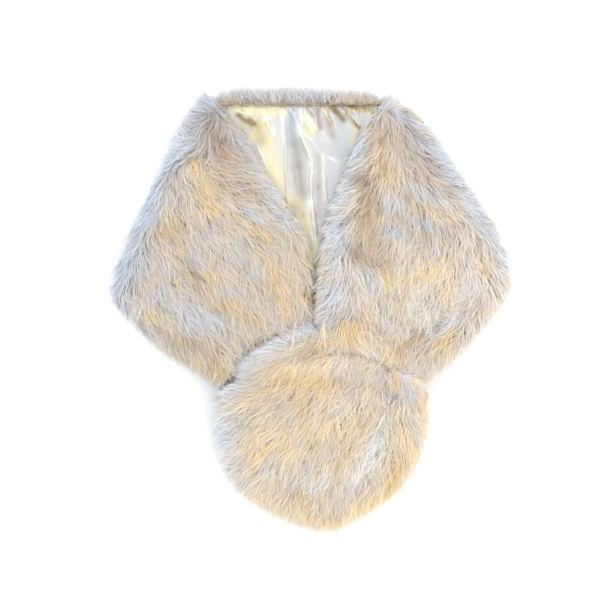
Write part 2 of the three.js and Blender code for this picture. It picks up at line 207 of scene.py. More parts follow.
TAIL_STROKES = each(Stroke,
    (318, 352, -116), (300, 360, -128), (283, 367, -136), (262, 368, -158), (240, 378, -176),
    (229, 396, -172), (224, 418, -166), (232, 440, -142), (254, 433, -124), (244, 462, -130),
    (269, 455, -117), (298, 455, -104), (335, 425, -106), (320, 403, -125), (345, 420, -105), (366, 405, -95),
    (386, 398, -138), (386, 440, -120), (330, 470, -124), (349, 381, -118), (364, 360, -100), (393, 400, -92),
    (380, 418, -124), (410, 408, -48), (422, 425, -40), (414, 436, -74), (357, 462, -116), (393, 469, -104),
    (327, 491, -100), (313, 522, -92), (269, 499, -108), (371, 506, -98), (405, 382, -50), (385, 380, -128),
    (224, 455, -160), (420, 460, -60), (250, 492, -130),
)
NECK_STROKES = each(Stroke,
    (215, 96, 130), (240, 92, 100), (262, 92, 128), (290, 90, 80), (318, 91, 112), (345, 90, 70),
    (366, 92, 118), (386, 94, 70),
)

# Streaks of colour, painted shade and painted light: the first pixel, the last one, the width, warm, and the
# value for painted shade and brown
# Painted light in this table: the cool streaks along the outline are a painted bluish shade and halo, the wide
# darkened streak at the upper left is painted shade on the side turned from the key lamp, the dark streak
# along the V's upper edge is painted shade, and the thin dark lines along the band's edge, between the fronts
# and beside the tail are painted shade in the gaps. The golden, brown and lavender streaks are the pile's own
# colours.
LEFT_TINTS = each(Tint,
    ((206, 95), (168, 150), 18, -0.95), ((168, 150), (140, 215), 18, -0.95),
    ((140, 215), (116, 285), 18, -0.9), ((108, 290), (150, 335), 6, -0.5), ((196, 100), (216, 120), 14, -0.8),
    ((245, 140), (277, 195), 9, -0.6), ((268, 200), (290, 225), 8, -0.5), ((160, 300), (215, 325), 15, -0.5),
    ((120, 262), (165, 272), 12, -0.35), ((215, 240), (255, 280), 16, -0.15),
    ((200, 125), (240, 160), 26, -0.15, 0.32), ((211, 126), (224, 156), 6, 0.1, 0.5),
    ((206, 150), (222, 160), 4, -0.2, 0.3), ((229, 156), (236, 162), 5, 0.7, 0.1),
    ((218, 171), (229, 174), 5, 0.6, 0.2), ((192, 163), (208, 188), 8, 0.7),
    ((203, 198), (215, 213), 9, 0.75), ((250, 188), (264, 203), 6, 0.4, 0.3),
    ((225, 190), (245, 200), 6, 0.2, 0.2), ((248, 214), (262, 222), 4, -0.7),
    ((254, 226), (270, 240), 7, 0.6, 0.1), ((161, 237), (184, 230), 8, 0.45, 0.3),
    ((178, 240), (186, 252), 7, 0.3, 0.2), ((191, 256), (199, 266), 5, -0.6),
    ((194, 262), (199, 290), 3, 0.1, 0.4), ((156, 272), (160, 279), 4, 0.6, 0.2),
    ((171, 284), (179, 288), 4, 0.6, 0.15), ((190, 272), (203, 298), 6, 0.35, 0.2),
    ((205, 274), (216, 285), 6, 0.75, 0.1), ((221, 288), (235, 294), 4, -0.5),
    ((217, 306), (226, 310), 5, 0.8, 0.2), ((232, 306), (260, 324), 7, 0.65, 0.1),
    ((270, 262), (282, 310), 7, 0.7, 0.1), ((286, 270), (296, 310), 8, 0.25),
    ((304, 293), (313, 308), 7, 0.8), ((186, 342), (222, 354), 8, 0.5, 0.3),
    ((206, 368), (224, 374), 8, 0.6, 0.3), ((165, 335), (190, 352), 7, 0.15, 0.3),
    ((150, 315), (157, 319), 4, 0.6, 0.2), ((318, 322), (262, 344), 4, 0, 1.2),
    ((262, 344), (226, 388), 4, 0, 1.2), ((316, 272), (318, 305), 3, 0, 1.1),
    ((249, 353), (256, 359), 4, -0.3, 0.9), ((238, 362), (244, 367), 4, -0.2, 0.9),
    ((275, 315), (250, 332), 8, -0.2),
)
# Painted light in this table: the cool streaks along the outline from the neck to the right tip are a painted
# bluish halo, the wide darkened streak near the top is painted shade, the slight lightening along the V's edge
# and the wide lightened streak low on the right are painted light where the key lamp falls, the small dark
# spots and short dark lines are painted shade in gaps, and the lightened streak along the slit is painted
# light that lifts the shadow of its seam. The golden, brown and lavender streaks are the pile's own colours.
RIGHT_TINTS = each(Tint,
    ((364, 105), (350, 150), 11, -0.55, -0.1), ((350, 150), (338, 195), 11, -0.55, -0.1),
    ((338, 195), (334, 240), 13, -0.5, -0.1), ((336, 240), (332, 300), 13, -0.5, -0.12),
    ((332, 300), (322, 322), 9, -0.5), ((384, 100), (446, 162), 13, -0.95),
    ((446, 162), (506, 255), 12, -0.9), ((500, 255), (506, 280), 8, -0.4),
    ((385, 125), (432, 172), 20, -0.02, 0.28), ((376, 102), (385, 97), 2.5, 0, 0.8),
    ((412, 133), (424, 139), 5, 0.6, 0.3), ((433, 165), (438, 171), 3.5, 0.7, 0.3),
    ((378, 162), (388, 174), 6, 0.65, 0.2), ((380, 182), (402, 192), 9, 0.35),
    ((354, 178), (364, 184), 5, 0.1, 0.75), ((364, 185), (366, 258), 10, 0.15, 0.26),
    ((398, 212), (446, 240), 15, -0.3, 0.12), ((362, 190), (372, 202), 7, 0.35, 0.35),
    ((409, 190), (445, 208), 9, -0.65), ((452, 194), (455, 199), 2.5, 0.1, 0.8),
    ((380, 205), (401, 209), 7, -0.65, -0.15), ((377, 204), (378, 214), 2.2, 0, 0.9),
    ((410, 213), (442, 215), 6, 0.5), ((365, 213), (370, 234), 6, 0.65, 0.3),
    ((380, 219), (405, 221), 5, 0.5, 0.1), ((413, 222), (424, 229), 5, -0.65),
    ((386, 228), (405, 240), 8, -0.55), ((408, 236), (424, 243), 6, 0.1, 0.35),
    ((352, 249), (357, 257), 5, 0.4, 0.5), ((356, 258), (386, 263), 8, 0.15, 0.5),
    ((372, 244), (384, 250), 6, 0.05, 0.3), ((361, 276), (381, 292), 9, -0.4),
    ((382, 268), (388, 300), 5, 0.6, 0.15), ((391, 284), (424, 276), 11, 0.9, 0.05),
    ((430, 272), (446, 268), 9, 0.95), ((443, 286), (449, 302), 6, 0.6, 0.1),
    ((418, 298), (436, 314), 8, -0.25), ((483, 266), (486, 273), 4, 0.5, 0.4),
    ((470, 235), (495, 258), 13, 0.25), ((456, 300), (474, 288), 5, -0.55), ((426, 340), (454, 320), 6, -0.6),
    ((470, 315), (440, 350), 12, 0.3, 0.05), ((480, 290), (500, 300), 10, 0.25),
    ((400, 348), (422, 334), 5, 0.4, 0.5), ((399, 302), (403, 297), 2, 0, 1.0),
    ((390, 310), (415, 332), 9, 0.25, 0.15), ((367, 312), (371, 323), 6, 0.75, 0.15),
    ((341, 338), (358, 330), 8, 1.0, 0.1), ((356, 340), (396, 344), 9, 0.45, 0.05),
    ((386, 357), (398, 362), 6, 0.8), ((394, 348), (402, 356), 4, 0.2, 0.5),
    ((400, 300), (480, 290), 55, 0, -0.36), ((430, 350), (452, 336), 7, 0.4, 0.1),
    ((352, 352), (357, 351), 2, 0, 0.7), ((362, 350), (425, 382), 5, 0.1, -0.3),
)
# The lavender-white streaks along the band's upper edge are lightened by painted light, as that edge faces
# away from the key lamp, and the brownish streak where the band meets the tail is painted shade. The golden
# streak is the pile's own colour.
BAND_TINTS = each(Tint,
    ((262, 345), (285, 331), 9, -0.9, -0.45), ((285, 331), (325, 326), 9, -0.9, -0.45),
    ((230, 380), (262, 348), 10, -0.9, -0.15), ((300, 351), (318, 351), 5, 0.5, 0.5),
    ((325, 345), (345, 342), 8, 0.7),
)
# Painted light in this table: the wide lightened streak over the tail is painted light, warmed by the tail's
# golden colour; the lightened streaks along its seam with the fronts and the band are painted light that lifts
# the seam's shadow; the brownish streak where the band meets it and the thin dark lines along the groove are
# painted shade; the cool streaks along the left outline are a painted bluish shade and halo. The other golden,
# brown, lavender and white streaks are the pile's own colours.
TAIL_TINTS = each(Tint,
    ((260, 445), (390, 445), 95, 0.4, -0.26), ((262, 374), (345, 354), 5, 0.1, -0.3),
    ((362, 352), (425, 384), 5, 0.1, -0.35), ((300, 352), (316, 351), 5, 0.4, 0.45),
    ((264, 366), (292, 378), 10, 1.0, 0.1), ((284, 376), (322, 384), 10, 1.1, 0.12),
    ((318, 358), (352, 349), 9, 0.6, 0.05), ((362, 354), (376, 362), 6, 0.7),
    ((384, 358), (397, 362), 5, 0.8), ((326, 392), (345, 380), 9, 0.3),
    ((342, 374), (354, 364), 5, -0.35, 0.1), ((380, 374), (398, 370), 5, -0.6, 0.2),
    ((276, 402), (294, 404), 9, 0.0, 0.25), ((300, 400), (306, 430), 8, 0.35, 0.1),
    ((326, 430), (343, 430), 10, 0.75), ((254, 458), (268, 448), 5, 0.95, 0.15),
    ((282, 442), (296, 455), 8, 0.65), ((246, 410), (264, 430), 10, 0.35), ((262, 468), (274, 464), 6, -0.5),
    ((309, 442), (313, 446), 4, 0.5, 0.35), ((290, 482), (308, 484), 5, -0.8, -0.1),
    ((312, 490), (324, 476), 5, -0.9, -0.2), ((293, 497), (311, 496), 6, 0, 0.3),
    ((350, 484), (374, 448), 9, -0.6, -0.4), ((374, 448), (390, 420), 7, -0.4, -0.2),
    ((386, 402), (402, 392), 7, -0.6, -0.3), ((407, 380), (411, 397), 5, -0.8),
    ((393, 383), (400, 384), 4, 0.6, 0.2), ((390, 416), (400, 420), 5, 0.4, 0.1),
    ((409, 424), (413, 432), 4, -0.8), ((402, 436), (410, 456), 8, 0.7),
    ((401, 464), (390, 484), 7, 0.9, 0.3), ((386, 492), (362, 506), 9, 0.6),
    ((260, 500), (330, 526), 10, 0.4), ((330, 526), (365, 508), 10, 0.5),
    ((379, 400), (359, 434), 2.2, 0.2, 0.4), ((359, 434), (338, 466), 2.2, 0.2, 0.35),
    ((338, 466), (328, 490), 2.2, 0, 0.35), ((226, 380), (220, 440), 12, -0.9),
    ((220, 440), (240, 485), 9, -0.6), ((228, 384), (255, 362), 9, -0.85),
    ((415, 385), (424, 410), 6, 0.4, 0.1), ((262, 388), (268, 396), 5, 0.3, 0.15),
)
# The lavender streak over the rim is lightened by painted light in the rim's own shadow, the tan line at the
# satin's seam is partly the roots' colour and partly painted shade, and the cool streaks along the outline are
# a painted bluish shade and halo.
NECK_TINTS = each(Tint,
    ((205, 90), (395, 87), 12, -0.75, -0.3), ((235, 103), (385, 102), 3.5, 0.8, 0.0),
    ((112, 288), (205, 95), 14, -1.0), ((395, 95), (506, 250), 13, -0.9),
    ((222, 100), (236, 103), 5, 0.7, 0.2),
)

# Spills of the pile: the pixel, the radius and the reach
V_EDGES = each(Spill,
    (224, 108, 9, 5), (233, 120, 8, 1.5), (376, 110, 8, 3), (369, 124, 8, 1.5), (250, 145, 16, -4.5),
    (268, 175, 16, -4.5), (284, 200, 14, -4.5), (294, 212, 7, -3), (301, 226, 7, 4), (311, 244, 9, -5),
    (316, 260, 8, -5), (362, 130, 14, -2), (350, 158, 14, -2), (342, 185, 14, -2), (332, 208, 12, -2),
    (323, 232, 9, -4), (323, 254, 10, -6),
)
SLIT_EDGES = each(Spill,
    (262, 358, 10, 14), (280, 354, 12, 16), (300, 351, 12, 16), (322, 350, 12, 16), (342, 349, 12, 16),
    (362, 352, 10, 13), (380, 360, 9, 11), (400, 368, 9, 15), (418, 378, 9, 14), (318, 290, 9, 5),
    (318, 306, 9, 6), (318, 320, 9, 8),
)


def tinted(streaks: tuple[Tint, ...], x: np.ndarray, y: np.ndarray, which: str) -> np.ndarray:
    """How warm points are under a list of tints, or how far towards the dark colour of painted shade and brown
    or the bright colour of painted light.

    Args:
        streaks: the streaks of colour.
        x: the points' x.
        y: the points' y.
        which: the value to sum, warm or the one for painted shade and brown.

    Returns:
        The sum of the tints' bells, from -1.2 to 1.2.
    """
    total = np.zeros(x.shape)
    for tint in streaks:
        _, away = beside(tint.start, tint.end, x, y)
        total += getattr(tint, which) * np.exp(-((away / (tint.width * PHOTO_SCALE)) ** 2))
    return np.clip(total, -1.2, 1.2)


def spilled(places: tuple[Spill, ...], points: np.ndarray) -> np.ndarray:
    """How much further the tips may reach at points, where one stretch of pile runs over the next.

    Args:
        places: the spills, each a bell of its radius.
        points: the tips, one row each.

    Returns:
        The sum of the bells at each point, in metres.
    """
    total = np.zeros(len(points))
    for spill in places:
        away = np.linalg.norm(points[:, :2] - at_pixel(spill.px, spill.py), axis=1)
        total += spill.reach * MM * np.exp(-((away / (spill.radius * PHOTO_SCALE)) ** 2))
    return total


def combed(comb: tuple[Stroke, ...], points: np.ndarray) -> np.ndarray:
    """The way the pile lies at points, blended from strokes by one over the distance cubed.

    Args:
        comb: the comb's strokes over this stretch.
        points: places in metres, one row each.

    Returns:
        Level unit vectors, one for each point.
    """
    softness = 5 * MM  # within this of a stroke its weight levels off
    places = at_pixel([stroke.px for stroke in comb], [stroke.py for stroke in comb])
    angles = np.radians([stroke.heading for stroke in comb])
    square = ((points[:, None, :2] - places[None]) ** 2).sum(axis=2)
    weight = (square + softness**2) ** -1.5
    level = np.stack([weight @ np.cos(angles), weight @ np.sin(angles), np.zeros(len(points))], axis=1)
    return unit(level)


def wander(points: np.ndarray) -> np.ndarray:
    """How far the pile strays from its strokes: bent crossed waves 25 to 60 mm long, up to 22 degrees.

    Args:
        points: places in metres, one row each.

    Returns:
        An angle in radians for each point.
    """
    x, y = points[:, 0], points[:, 1]
    first = np.sin(x * 130 + 2.2 * np.sin(y * 90) + 0.7)
    second = np.sin(y * 150 + 2.0 * np.sin(x * 110 + 1.3))
    third = 0.7 * np.sin((x + y) * 250 + 1.5 * np.sin((x - y) * 140))
    return math.radians(22) * (first + second + third) / 2.7


def node_triangles(name: str) -> np.ndarray:
    """A CAD node's triangles, as an array of corners."""
    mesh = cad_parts[name].data
    mesh.calc_loop_triangles()
    index = np.empty(len(mesh.loop_triangles) * 3, np.int32)
    mesh.loop_triangles.foreach_get("vertices", index)
    return vertex_array(mesh)[index.reshape(-1, 3)]


def vertex_array(mesh: Mesh) -> np.ndarray:
    """A mesh's vertices, one row each."""
    values = np.empty(len(mesh.vertices) * 3)
    mesh.vertices.foreach_get("co", values)
    return values.reshape(-1, 3)


def crossed(triangles: np.ndarray) -> np.ndarray:
    """Each triangle's outward normal, twice as long as the triangle's area."""
    return np.cross(triangles[:, 1] - triangles[:, 0], triangles[:, 2] - triangles[:, 0])


def scattered(
    triangles: np.ndarray, weights: np.ndarray, count: int, rng: np.random.Generator
) -> tuple[np.ndarray, np.ndarray]:
    """Points spread at random over triangles, by area times weight.

    Args:
        triangles: the corners.
        weights: how dense each triangle's points are.
        count: how many points.
        rng: the seeded generator.

    Returns:
        The points and the outward normals there.
    """
    cross = crossed(triangles)
    share = np.linalg.norm(cross, axis=1) * weights
    pick = rng.choice(len(triangles), size=count, p=share / share.sum())
    u, v = rng.random((2, count))
    over = u + v > 1
    u[over], v[over] = 1 - u[over], 1 - v[over]
    first, second, third = triangles[pick].transpose(1, 0, 2)
    points = first + u[:, None] * (second - first) + v[:, None] * (third - first)
    return points, unit(cross[pick])


def new_piece(name: str, points: np.ndarray, faces: list[list[int]]) -> Object:
    """An object that rides on the wrap, from points and faces.

    Args:
        name: the piece's name.
        points: one row for each vertex.
        faces: rows of vertex numbers.

    Returns:
        The linked object.
    """
    mesh = bpy.data.meshes.new(name)
    mesh.from_pydata(points.tolist(), [], faces)
    mesh.validate()
    piece = bpy.data.objects.new(name, mesh)
    bpy.context.collection.objects.link(piece)
    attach(piece, "root")
    return piece


def set_attribute(piece: Object, name: str, values: np.ndarray) -> None:
    """Gives each vertex of a piece a number that its material reads."""
    layer = piece.data.attributes.new(name, "FLOAT", "POINT")
    layer.data.foreach_set("value", np.ascontiguousarray(values, np.float32))


def feed(node: Node, inputs: dict[str | int, Feed]) -> None:
    """Links each of a node's inputs to a socket, or sets it to a value."""
    for label, value in inputs.items():
        if isinstance(value, NodeSocket):
            node.id_data.links.new(value, node.inputs[label])
        else:
            node.inputs[label].default_value = value


def add_node(
    tree: NodeTree, kind: str, output: str, inputs: dict[str | int, Feed], **options: str | bool
) -> NodeSocket:
    """Adds a shader node to a tree.

    Args:
        tree: the material's or the group's tree.
        kind: the node's type without ShaderNode, which leads it.
        output: the output that is used.
        inputs: what feeds the inputs that don't keep their first values.
        options: the node's own settings.

    Returns:
        The output's socket.
    """
    node = tree.nodes.new("ShaderNode" + kind)
    for option, value in options.items():
        setattr(node, option, value)
    feed(node, inputs)
    return node.outputs[output]


def attribute(tree: NodeTree, name: str) -> NodeSocket:
    """The socket of a vertex number that the piece holds."""
    return add_node(tree, "Attribute", "Fac", {}, attribute_name=name)


def blended(tree: NodeTree, share: Feed, first: Feed, second: Feed) -> NodeSocket:
    """The socket of a colour that is a share of the way from the first to the second."""
    return add_node(tree, "Mix", "Result", {"Factor": share, "A": first, "B": second}, data_type="RGBA")


def multiplied(tree: NodeTree, first: Feed, second: Feed, added: Feed) -> NodeSocket:
    """The socket of first times second plus added."""
    return add_node(tree, "Math", "Value", {0: first, 1: second, 2: added}, operation="MULTIPLY_ADD")


def new_material(name: str) -> tuple[Material, NodeTree, Node]:
    """A material with its node tree and its Principled BSDF."""
    material = bpy.data.materials.new(name)
    material.use_nodes = True
    tree = material.node_tree
    return material, tree, tree.nodes["Principled BSDF"]


def tint_group() -> NodeTree:
    """A group that tints a plain colour, shared by the hairs, the underfur and the satin.

    Warm is 1 for the warm colour and -1 for the cool one. The input for painted shade and brown is 1 for the
    dark colour, which paints shade and brown, and -1 for the bright one, which paints light and highlights.
    Clouds of noise, as strong as Cloud, are added to Warm.

    Returns:
        The node group.
    """
    group = bpy.data.node_groups.new("Tinting", "ShaderNodeTree")
    colours = ["Plain", "Warm colour", "Cool colour", "Dusk colour", "Bright colour"]
    for label in colours:
        group.interface.new_socket(name=label, in_out="INPUT", socket_type="NodeSocketColor")
    for label in ("Warm", "Painted shade and brown", "Cloud"):
        group.interface.new_socket(name=label, in_out="INPUT", socket_type="NodeSocketFloat")
    group.interface.new_socket(name="Colour", in_out="OUTPUT", socket_type="NodeSocketColor")
    source = group.nodes.new("NodeGroupInput").outputs
    place = add_node(group, "TexCoord", "Object", {})
    noise = {"Vector": place, "Scale": 34.0, "Detail": 6.0, "Roughness": 0.68}
    clouds = add_node(group, "TexNoise", "Fac", noise)
    centring = {"Value": clouds, "From Min": 0.3, "From Max": 0.7, "To Min": -1.0}
    centred = add_node(group, "MapRange", "Result", centring)
    warm = multiplied(group, centred, source["Cloud"], source["Warm"])
    colour = source["Plain"]
    signs = zip(colours[1:], (warm, warm, source["Painted shade and brown"], source["Painted shade and brown"]), (1.0, -1.0, 1.0, -1.0))
    for label, amount, sign in signs:
        share = add_node(group, "Math", "Value", {0: amount, 1: sign}, operation="MULTIPLY", use_clamp=True)
        colour = blended(group, share, colour, source[label])
    feed(group.nodes.new("NodeGroupOutput"), {"Colour": colour})
    return group


@dataclass(frozen=True)
class Palette:
    """The five colours that the tinting group blends, and the strength of its clouds."""

    plain: Colour
    # On the satin the warm, cool, dark and bright colours paint the reflection, shade and highlight of its
    # folds. On the pile the cool one also paints a bluish shade along the outline, the dark one paints shade
    # in gaps besides brown, and the bright one paints light.
    warm: Colour
    cool: Colour
    painted_shade_and_brown: Colour
    bright: Colour
    cloud: float = 0.0

    def tinted(self, tree: NodeTree, tinting: NodeTree) -> NodeSocket:
        """Adds the tinting group to a material's tree, with these colours and the piece's own values for
        warmth and for painted shade and brown.

        Args:
            tree: the material's tree.
            tinting: the shared group.

        Returns:
            The tinted colour's socket.
        """
        group = tree.nodes.new("ShaderNodeGroup")
        group.node_tree = tinting
        feed(group, {"Plain": self.plain, "Warm colour": self.warm, "Cool colour": self.cool})
        feed(group, {"Dusk colour": self.painted_shade_and_brown, "Bright colour": self.bright, "Cloud": self.cloud})
        feed(group, {"Warm": attribute(tree, "warm"), "Painted shade and brown": attribute(tree, "painted_shade_and_brown")})
        return group.outputs["Colour"]


@dataclass(frozen=True)
class HairFinish:
    """The finish of the hairs: brown roots, cream lengths that are tinted golden or cool, and pale tips."""

    name: str = "Faux fur hair"
    # Besides the pile's colours, the cool colour paints a bluish shade along the outline, the dark one paints
    # shade in gaps and grooves, and the bright one paints light.
    palette: Palette = Palette(
        plain=(0.725, 0.635, 0.535, 1), warm=(0.85, 0.655, 0.335, 1), cool=(0.635, 0.675, 0.75, 1),
        painted_shade_and_brown=(0.40, 0.28, 0.19, 1), bright=(0.94, 0.92, 0.90, 1), cloud=0.42,
    )
    root: Colour = (0.54, 0.43, 0.335, 1)
    tip: Colour = (0.91, 0.88, 0.84, 1)
    root_ends: float = 0.38  # the share of the length at which the root's colour has gone
    tip_starts: float = 0.55  # and that at which the tip's colour sets in
    tip_strength: float = 0.38
    contrast: float = 0.30  # how much lighter or darker hairs are than each other

    def made(self, tinting: NodeTree) -> Material:
        """Builds the material: tinted, darkened to the root, paled to the tip, and unlike hair by hair.

        Args:
            tinting: the shared group.

        Returns:
            The material.
        """
        material, tree, shader = new_material(self.name)
        along = attribute(tree, "along")
        grown = add_node(tree, "MapRange", "Result", {"Value": along, "From Max": self.root_ends})
        colour = blended(tree, grown, self.root, self.palette.tinted(tree, tinting))
        paling = {"Value": along, "From Min": self.tip_starts, "To Max": self.tip_strength}
        colour = blended(tree, add_node(tree, "MapRange", "Result", paling), colour, self.tip)
        light = multiplied(tree, attribute(tree, "lock"), self.contrast, 1.0)
        colour = add_node(tree, "VectorMath", "Vector", {"Vector": colour, "Scale": light}, operation="SCALE")
        feed(shader, {"Base Color": colour, "Roughness": 0.62, "Specular IOR Level": 0.32})
        feed(shader, {"Sheen Weight": 0.18, "Sheen Roughness": 0.5})
        return material


@dataclass(frozen=True)
class UnderfurFinish:
    """The finish of the dense short fur between the hairs: tan, tinted as they are, with a fine nap."""

    name: str = "Underfur"
    # The underfur takes the pile's tints, so its cool, dark and bright colours paint shade and light as the
    # hairs' do.
    palette: Palette = Palette(
        plain=(0.61, 0.50, 0.39, 1), warm=(0.70, 0.55, 0.33, 1), cool=(0.55, 0.57, 0.62, 1),
        painted_shade_and_brown=(0.34, 0.23, 0.15, 1), bright=(0.80, 0.77, 0.74, 1), cloud=0.32,
    )
    nap: float = 1.2 * MM

    def made(self, tinting: NodeTree) -> Material:
        """Builds the material: tinted, with a fibrous bump.

        Args:
            tinting: the shared group.

        Returns:
            The material.
        """
        material, tree, shader = new_material(self.name)
        place = add_node(tree, "TexCoord", "Object", {})
        fibres = add_node(tree, "TexNoise", "Fac", {"Vector": place, "Scale": 900.0, "Detail": 3.0})
        bump = add_node(tree, "Bump", "Normal", {"Strength": 0.8, "Distance": self.nap, "Height": fibres})
        feed(shader, {"Base Color": self.palette.tinted(tree, tinting), "Normal": bump})
        feed(shader, {"Roughness": 0.95, "Specular IOR Level": 0.1})
        return material


@dataclass(frozen=True)
class SatinFinish:
    """The finish of the lining: champagne satin with a fine weave. Its butter, grey, brown and white tints are
    painted reflection, shade and highlight of its folds.
    """

    name: str = "Champagne satin"
    palette: Palette = Palette(
        plain=(0.58, 0.57, 0.56, 1), warm=(0.80, 0.71, 0.40, 1), cool=(0.38, 0.46, 0.52, 1),
        painted_shade_and_brown=(0.26, 0.18, 0.10, 1), bright=(0.86, 0.84, 0.80, 1),
    )
    roughness: float = 0.24
    crumples: float = 3.0 * MM
    weave: float = 0.03  # the weave's height as a share of the crumples'

    def made(self, tinting: NodeTree) -> Material:
        """Builds the material: tinted, glossy, with a weave and small crumples as bump.

        Args:
            tinting: the shared group.

        Returns:
            The material.
        """
        material, tree, shader = new_material(self.name)
        place = add_node(tree, "TexCoord", "Object", {})
        threads = {"Vector": place, "Scale": 900.0, "Distortion": 1.5}
        weave = add_node(tree, "TexWave", "Fac", threads, bands_direction="DIAGONAL")
        creases = {"Vector": place, "Scale": 48.0, "Detail": 2.0, "Distortion": 0.6}
        crumple = add_node(tree, "TexNoise", "Fac", creases)
        height = multiplied(tree, weave, self.weave, crumple)
        relief = {"Strength": 0.5, "Distance": self.crumples, "Height": height}
        bump = add_node(tree, "Bump", "Normal", relief)
        feed(shader, {"Base Color": self.palette.tinted(tree, tinting), "Normal": bump})
        feed(shader, {"Roughness": self.roughness, "Specular IOR Level": 0.75})
        feed(shader, {"Sheen Weight": 0.25, "Metallic": 0.2})
        return material


@dataclass(frozen=True)
class ThreadFinish:
    """The finish of the slit's stitches: tan sewing thread with a twist."""

    name: str = "Tan thread"
    dark: Colour = (0.42, 0.29, 0.16, 1)
    light: Colour = (0.62, 0.46, 0.28, 1)

    def made(self) -> Material:
        """Builds the material: tan, lightened in narrow bands that paint the highlights on a twisted thread's
        plies.
        """
        material, tree, shader = new_material(self.name)
        place = add_node(tree, "TexCoord", "Object", {})
        twist = add_node(tree, "TexWave", "Fac", {"Vector": place, "Scale": 700.0})
        feed(shader, {"Base Color": blended(tree, twist, self.dark, self.light), "Roughness": 0.6})
        return material


class Zone(Enum):
    """Where over its solid a coat grows."""

    ALL = "all"
    RIM = "rim"
    SKIRT = "skirt"


@dataclass
class Footprint:
    """A CAD solid seen from above, as square cells with the highest and the lowest z in each."""

    triangles: np.ndarray
    rng: np.random.Generator
    cell: float = 4 * MM
    samples: int = 200_000

    AT_ONCE = 8000  # points that are measured in one go, to spare memory

    def __post_init__(self) -> None:
        """Drops points all over the solid and sorts them into the cells."""
        points, _ = scattered(self.triangles, np.ones(len(self.triangles)), self.samples, self.rng)
        corners = self.triangles.reshape(-1, 3)[:, :2]
        margin = 2 * self.cell
        self.low = corners.min(axis=0) - margin
        size = np.ceil((corners.max(axis=0) + margin - self.low) / self.cell).astype(int) + 1
        i, j = self.spots(points).T
        self.top = np.full(size, -1.0)
        self.bottom = np.full(size, 1.0)
        np.maximum.at(self.top, (i, j), points[:, 2])
        np.minimum.at(self.bottom, (i, j), points[:, 2])
        self.inside = self.top > 0
        edge = self.inside & ~self.drawn_in(self.inside)
        self.rim = self.low + np.stack(np.nonzero(edge), axis=1) * self.cell

    def spots(self, points: np.ndarray) -> np.ndarray:
        """The row and column of the cell that each point is over."""
        return np.rint((points[:, :2] - self.low) / self.cell).astype(int)

    @staticmethod
    def drawn_in(mask: np.ndarray) -> np.ndarray:
        """A mask without the cells that have an empty neighbour."""
        return mask & np.all([np.roll(mask, step, (0, 1)) for step in NEIGHBOURS], axis=0)

    def drawn_back(self, points: np.ndarray, allowed: np.ndarray) -> np.ndarray:
        """The moves that bring points which stand too far outside the footprint back towards it.

        Args:
            points: places, one row each.
            allowed: how far outside each may stand.

        Returns:
            Level vectors towards the nearest cell of the rim, and 0 for points that may stay.
        """
        nearest = np.empty((len(points), 2))
        for rows in np.array_split(np.arange(len(points)), max(1, len(points) // self.AT_ONCE)):
            square = ((points[rows, None, :2] - self.rim[None]) ** 2).sum(axis=2)
            nearest[rows] = self.rim[square.argmin(axis=1)]
        i, j = np.clip(self.spots(points), 0, np.array(self.inside.shape) - 1).T
        back = np.zeros_like(points)
        back[:, :2] = nearest - points[:, :2]
        excess = np.maximum(np.linalg.norm(back, axis=1) - allowed, 0)
        return unit(back) * np.where(self.inside[i, j], 0, excess)[:, None]


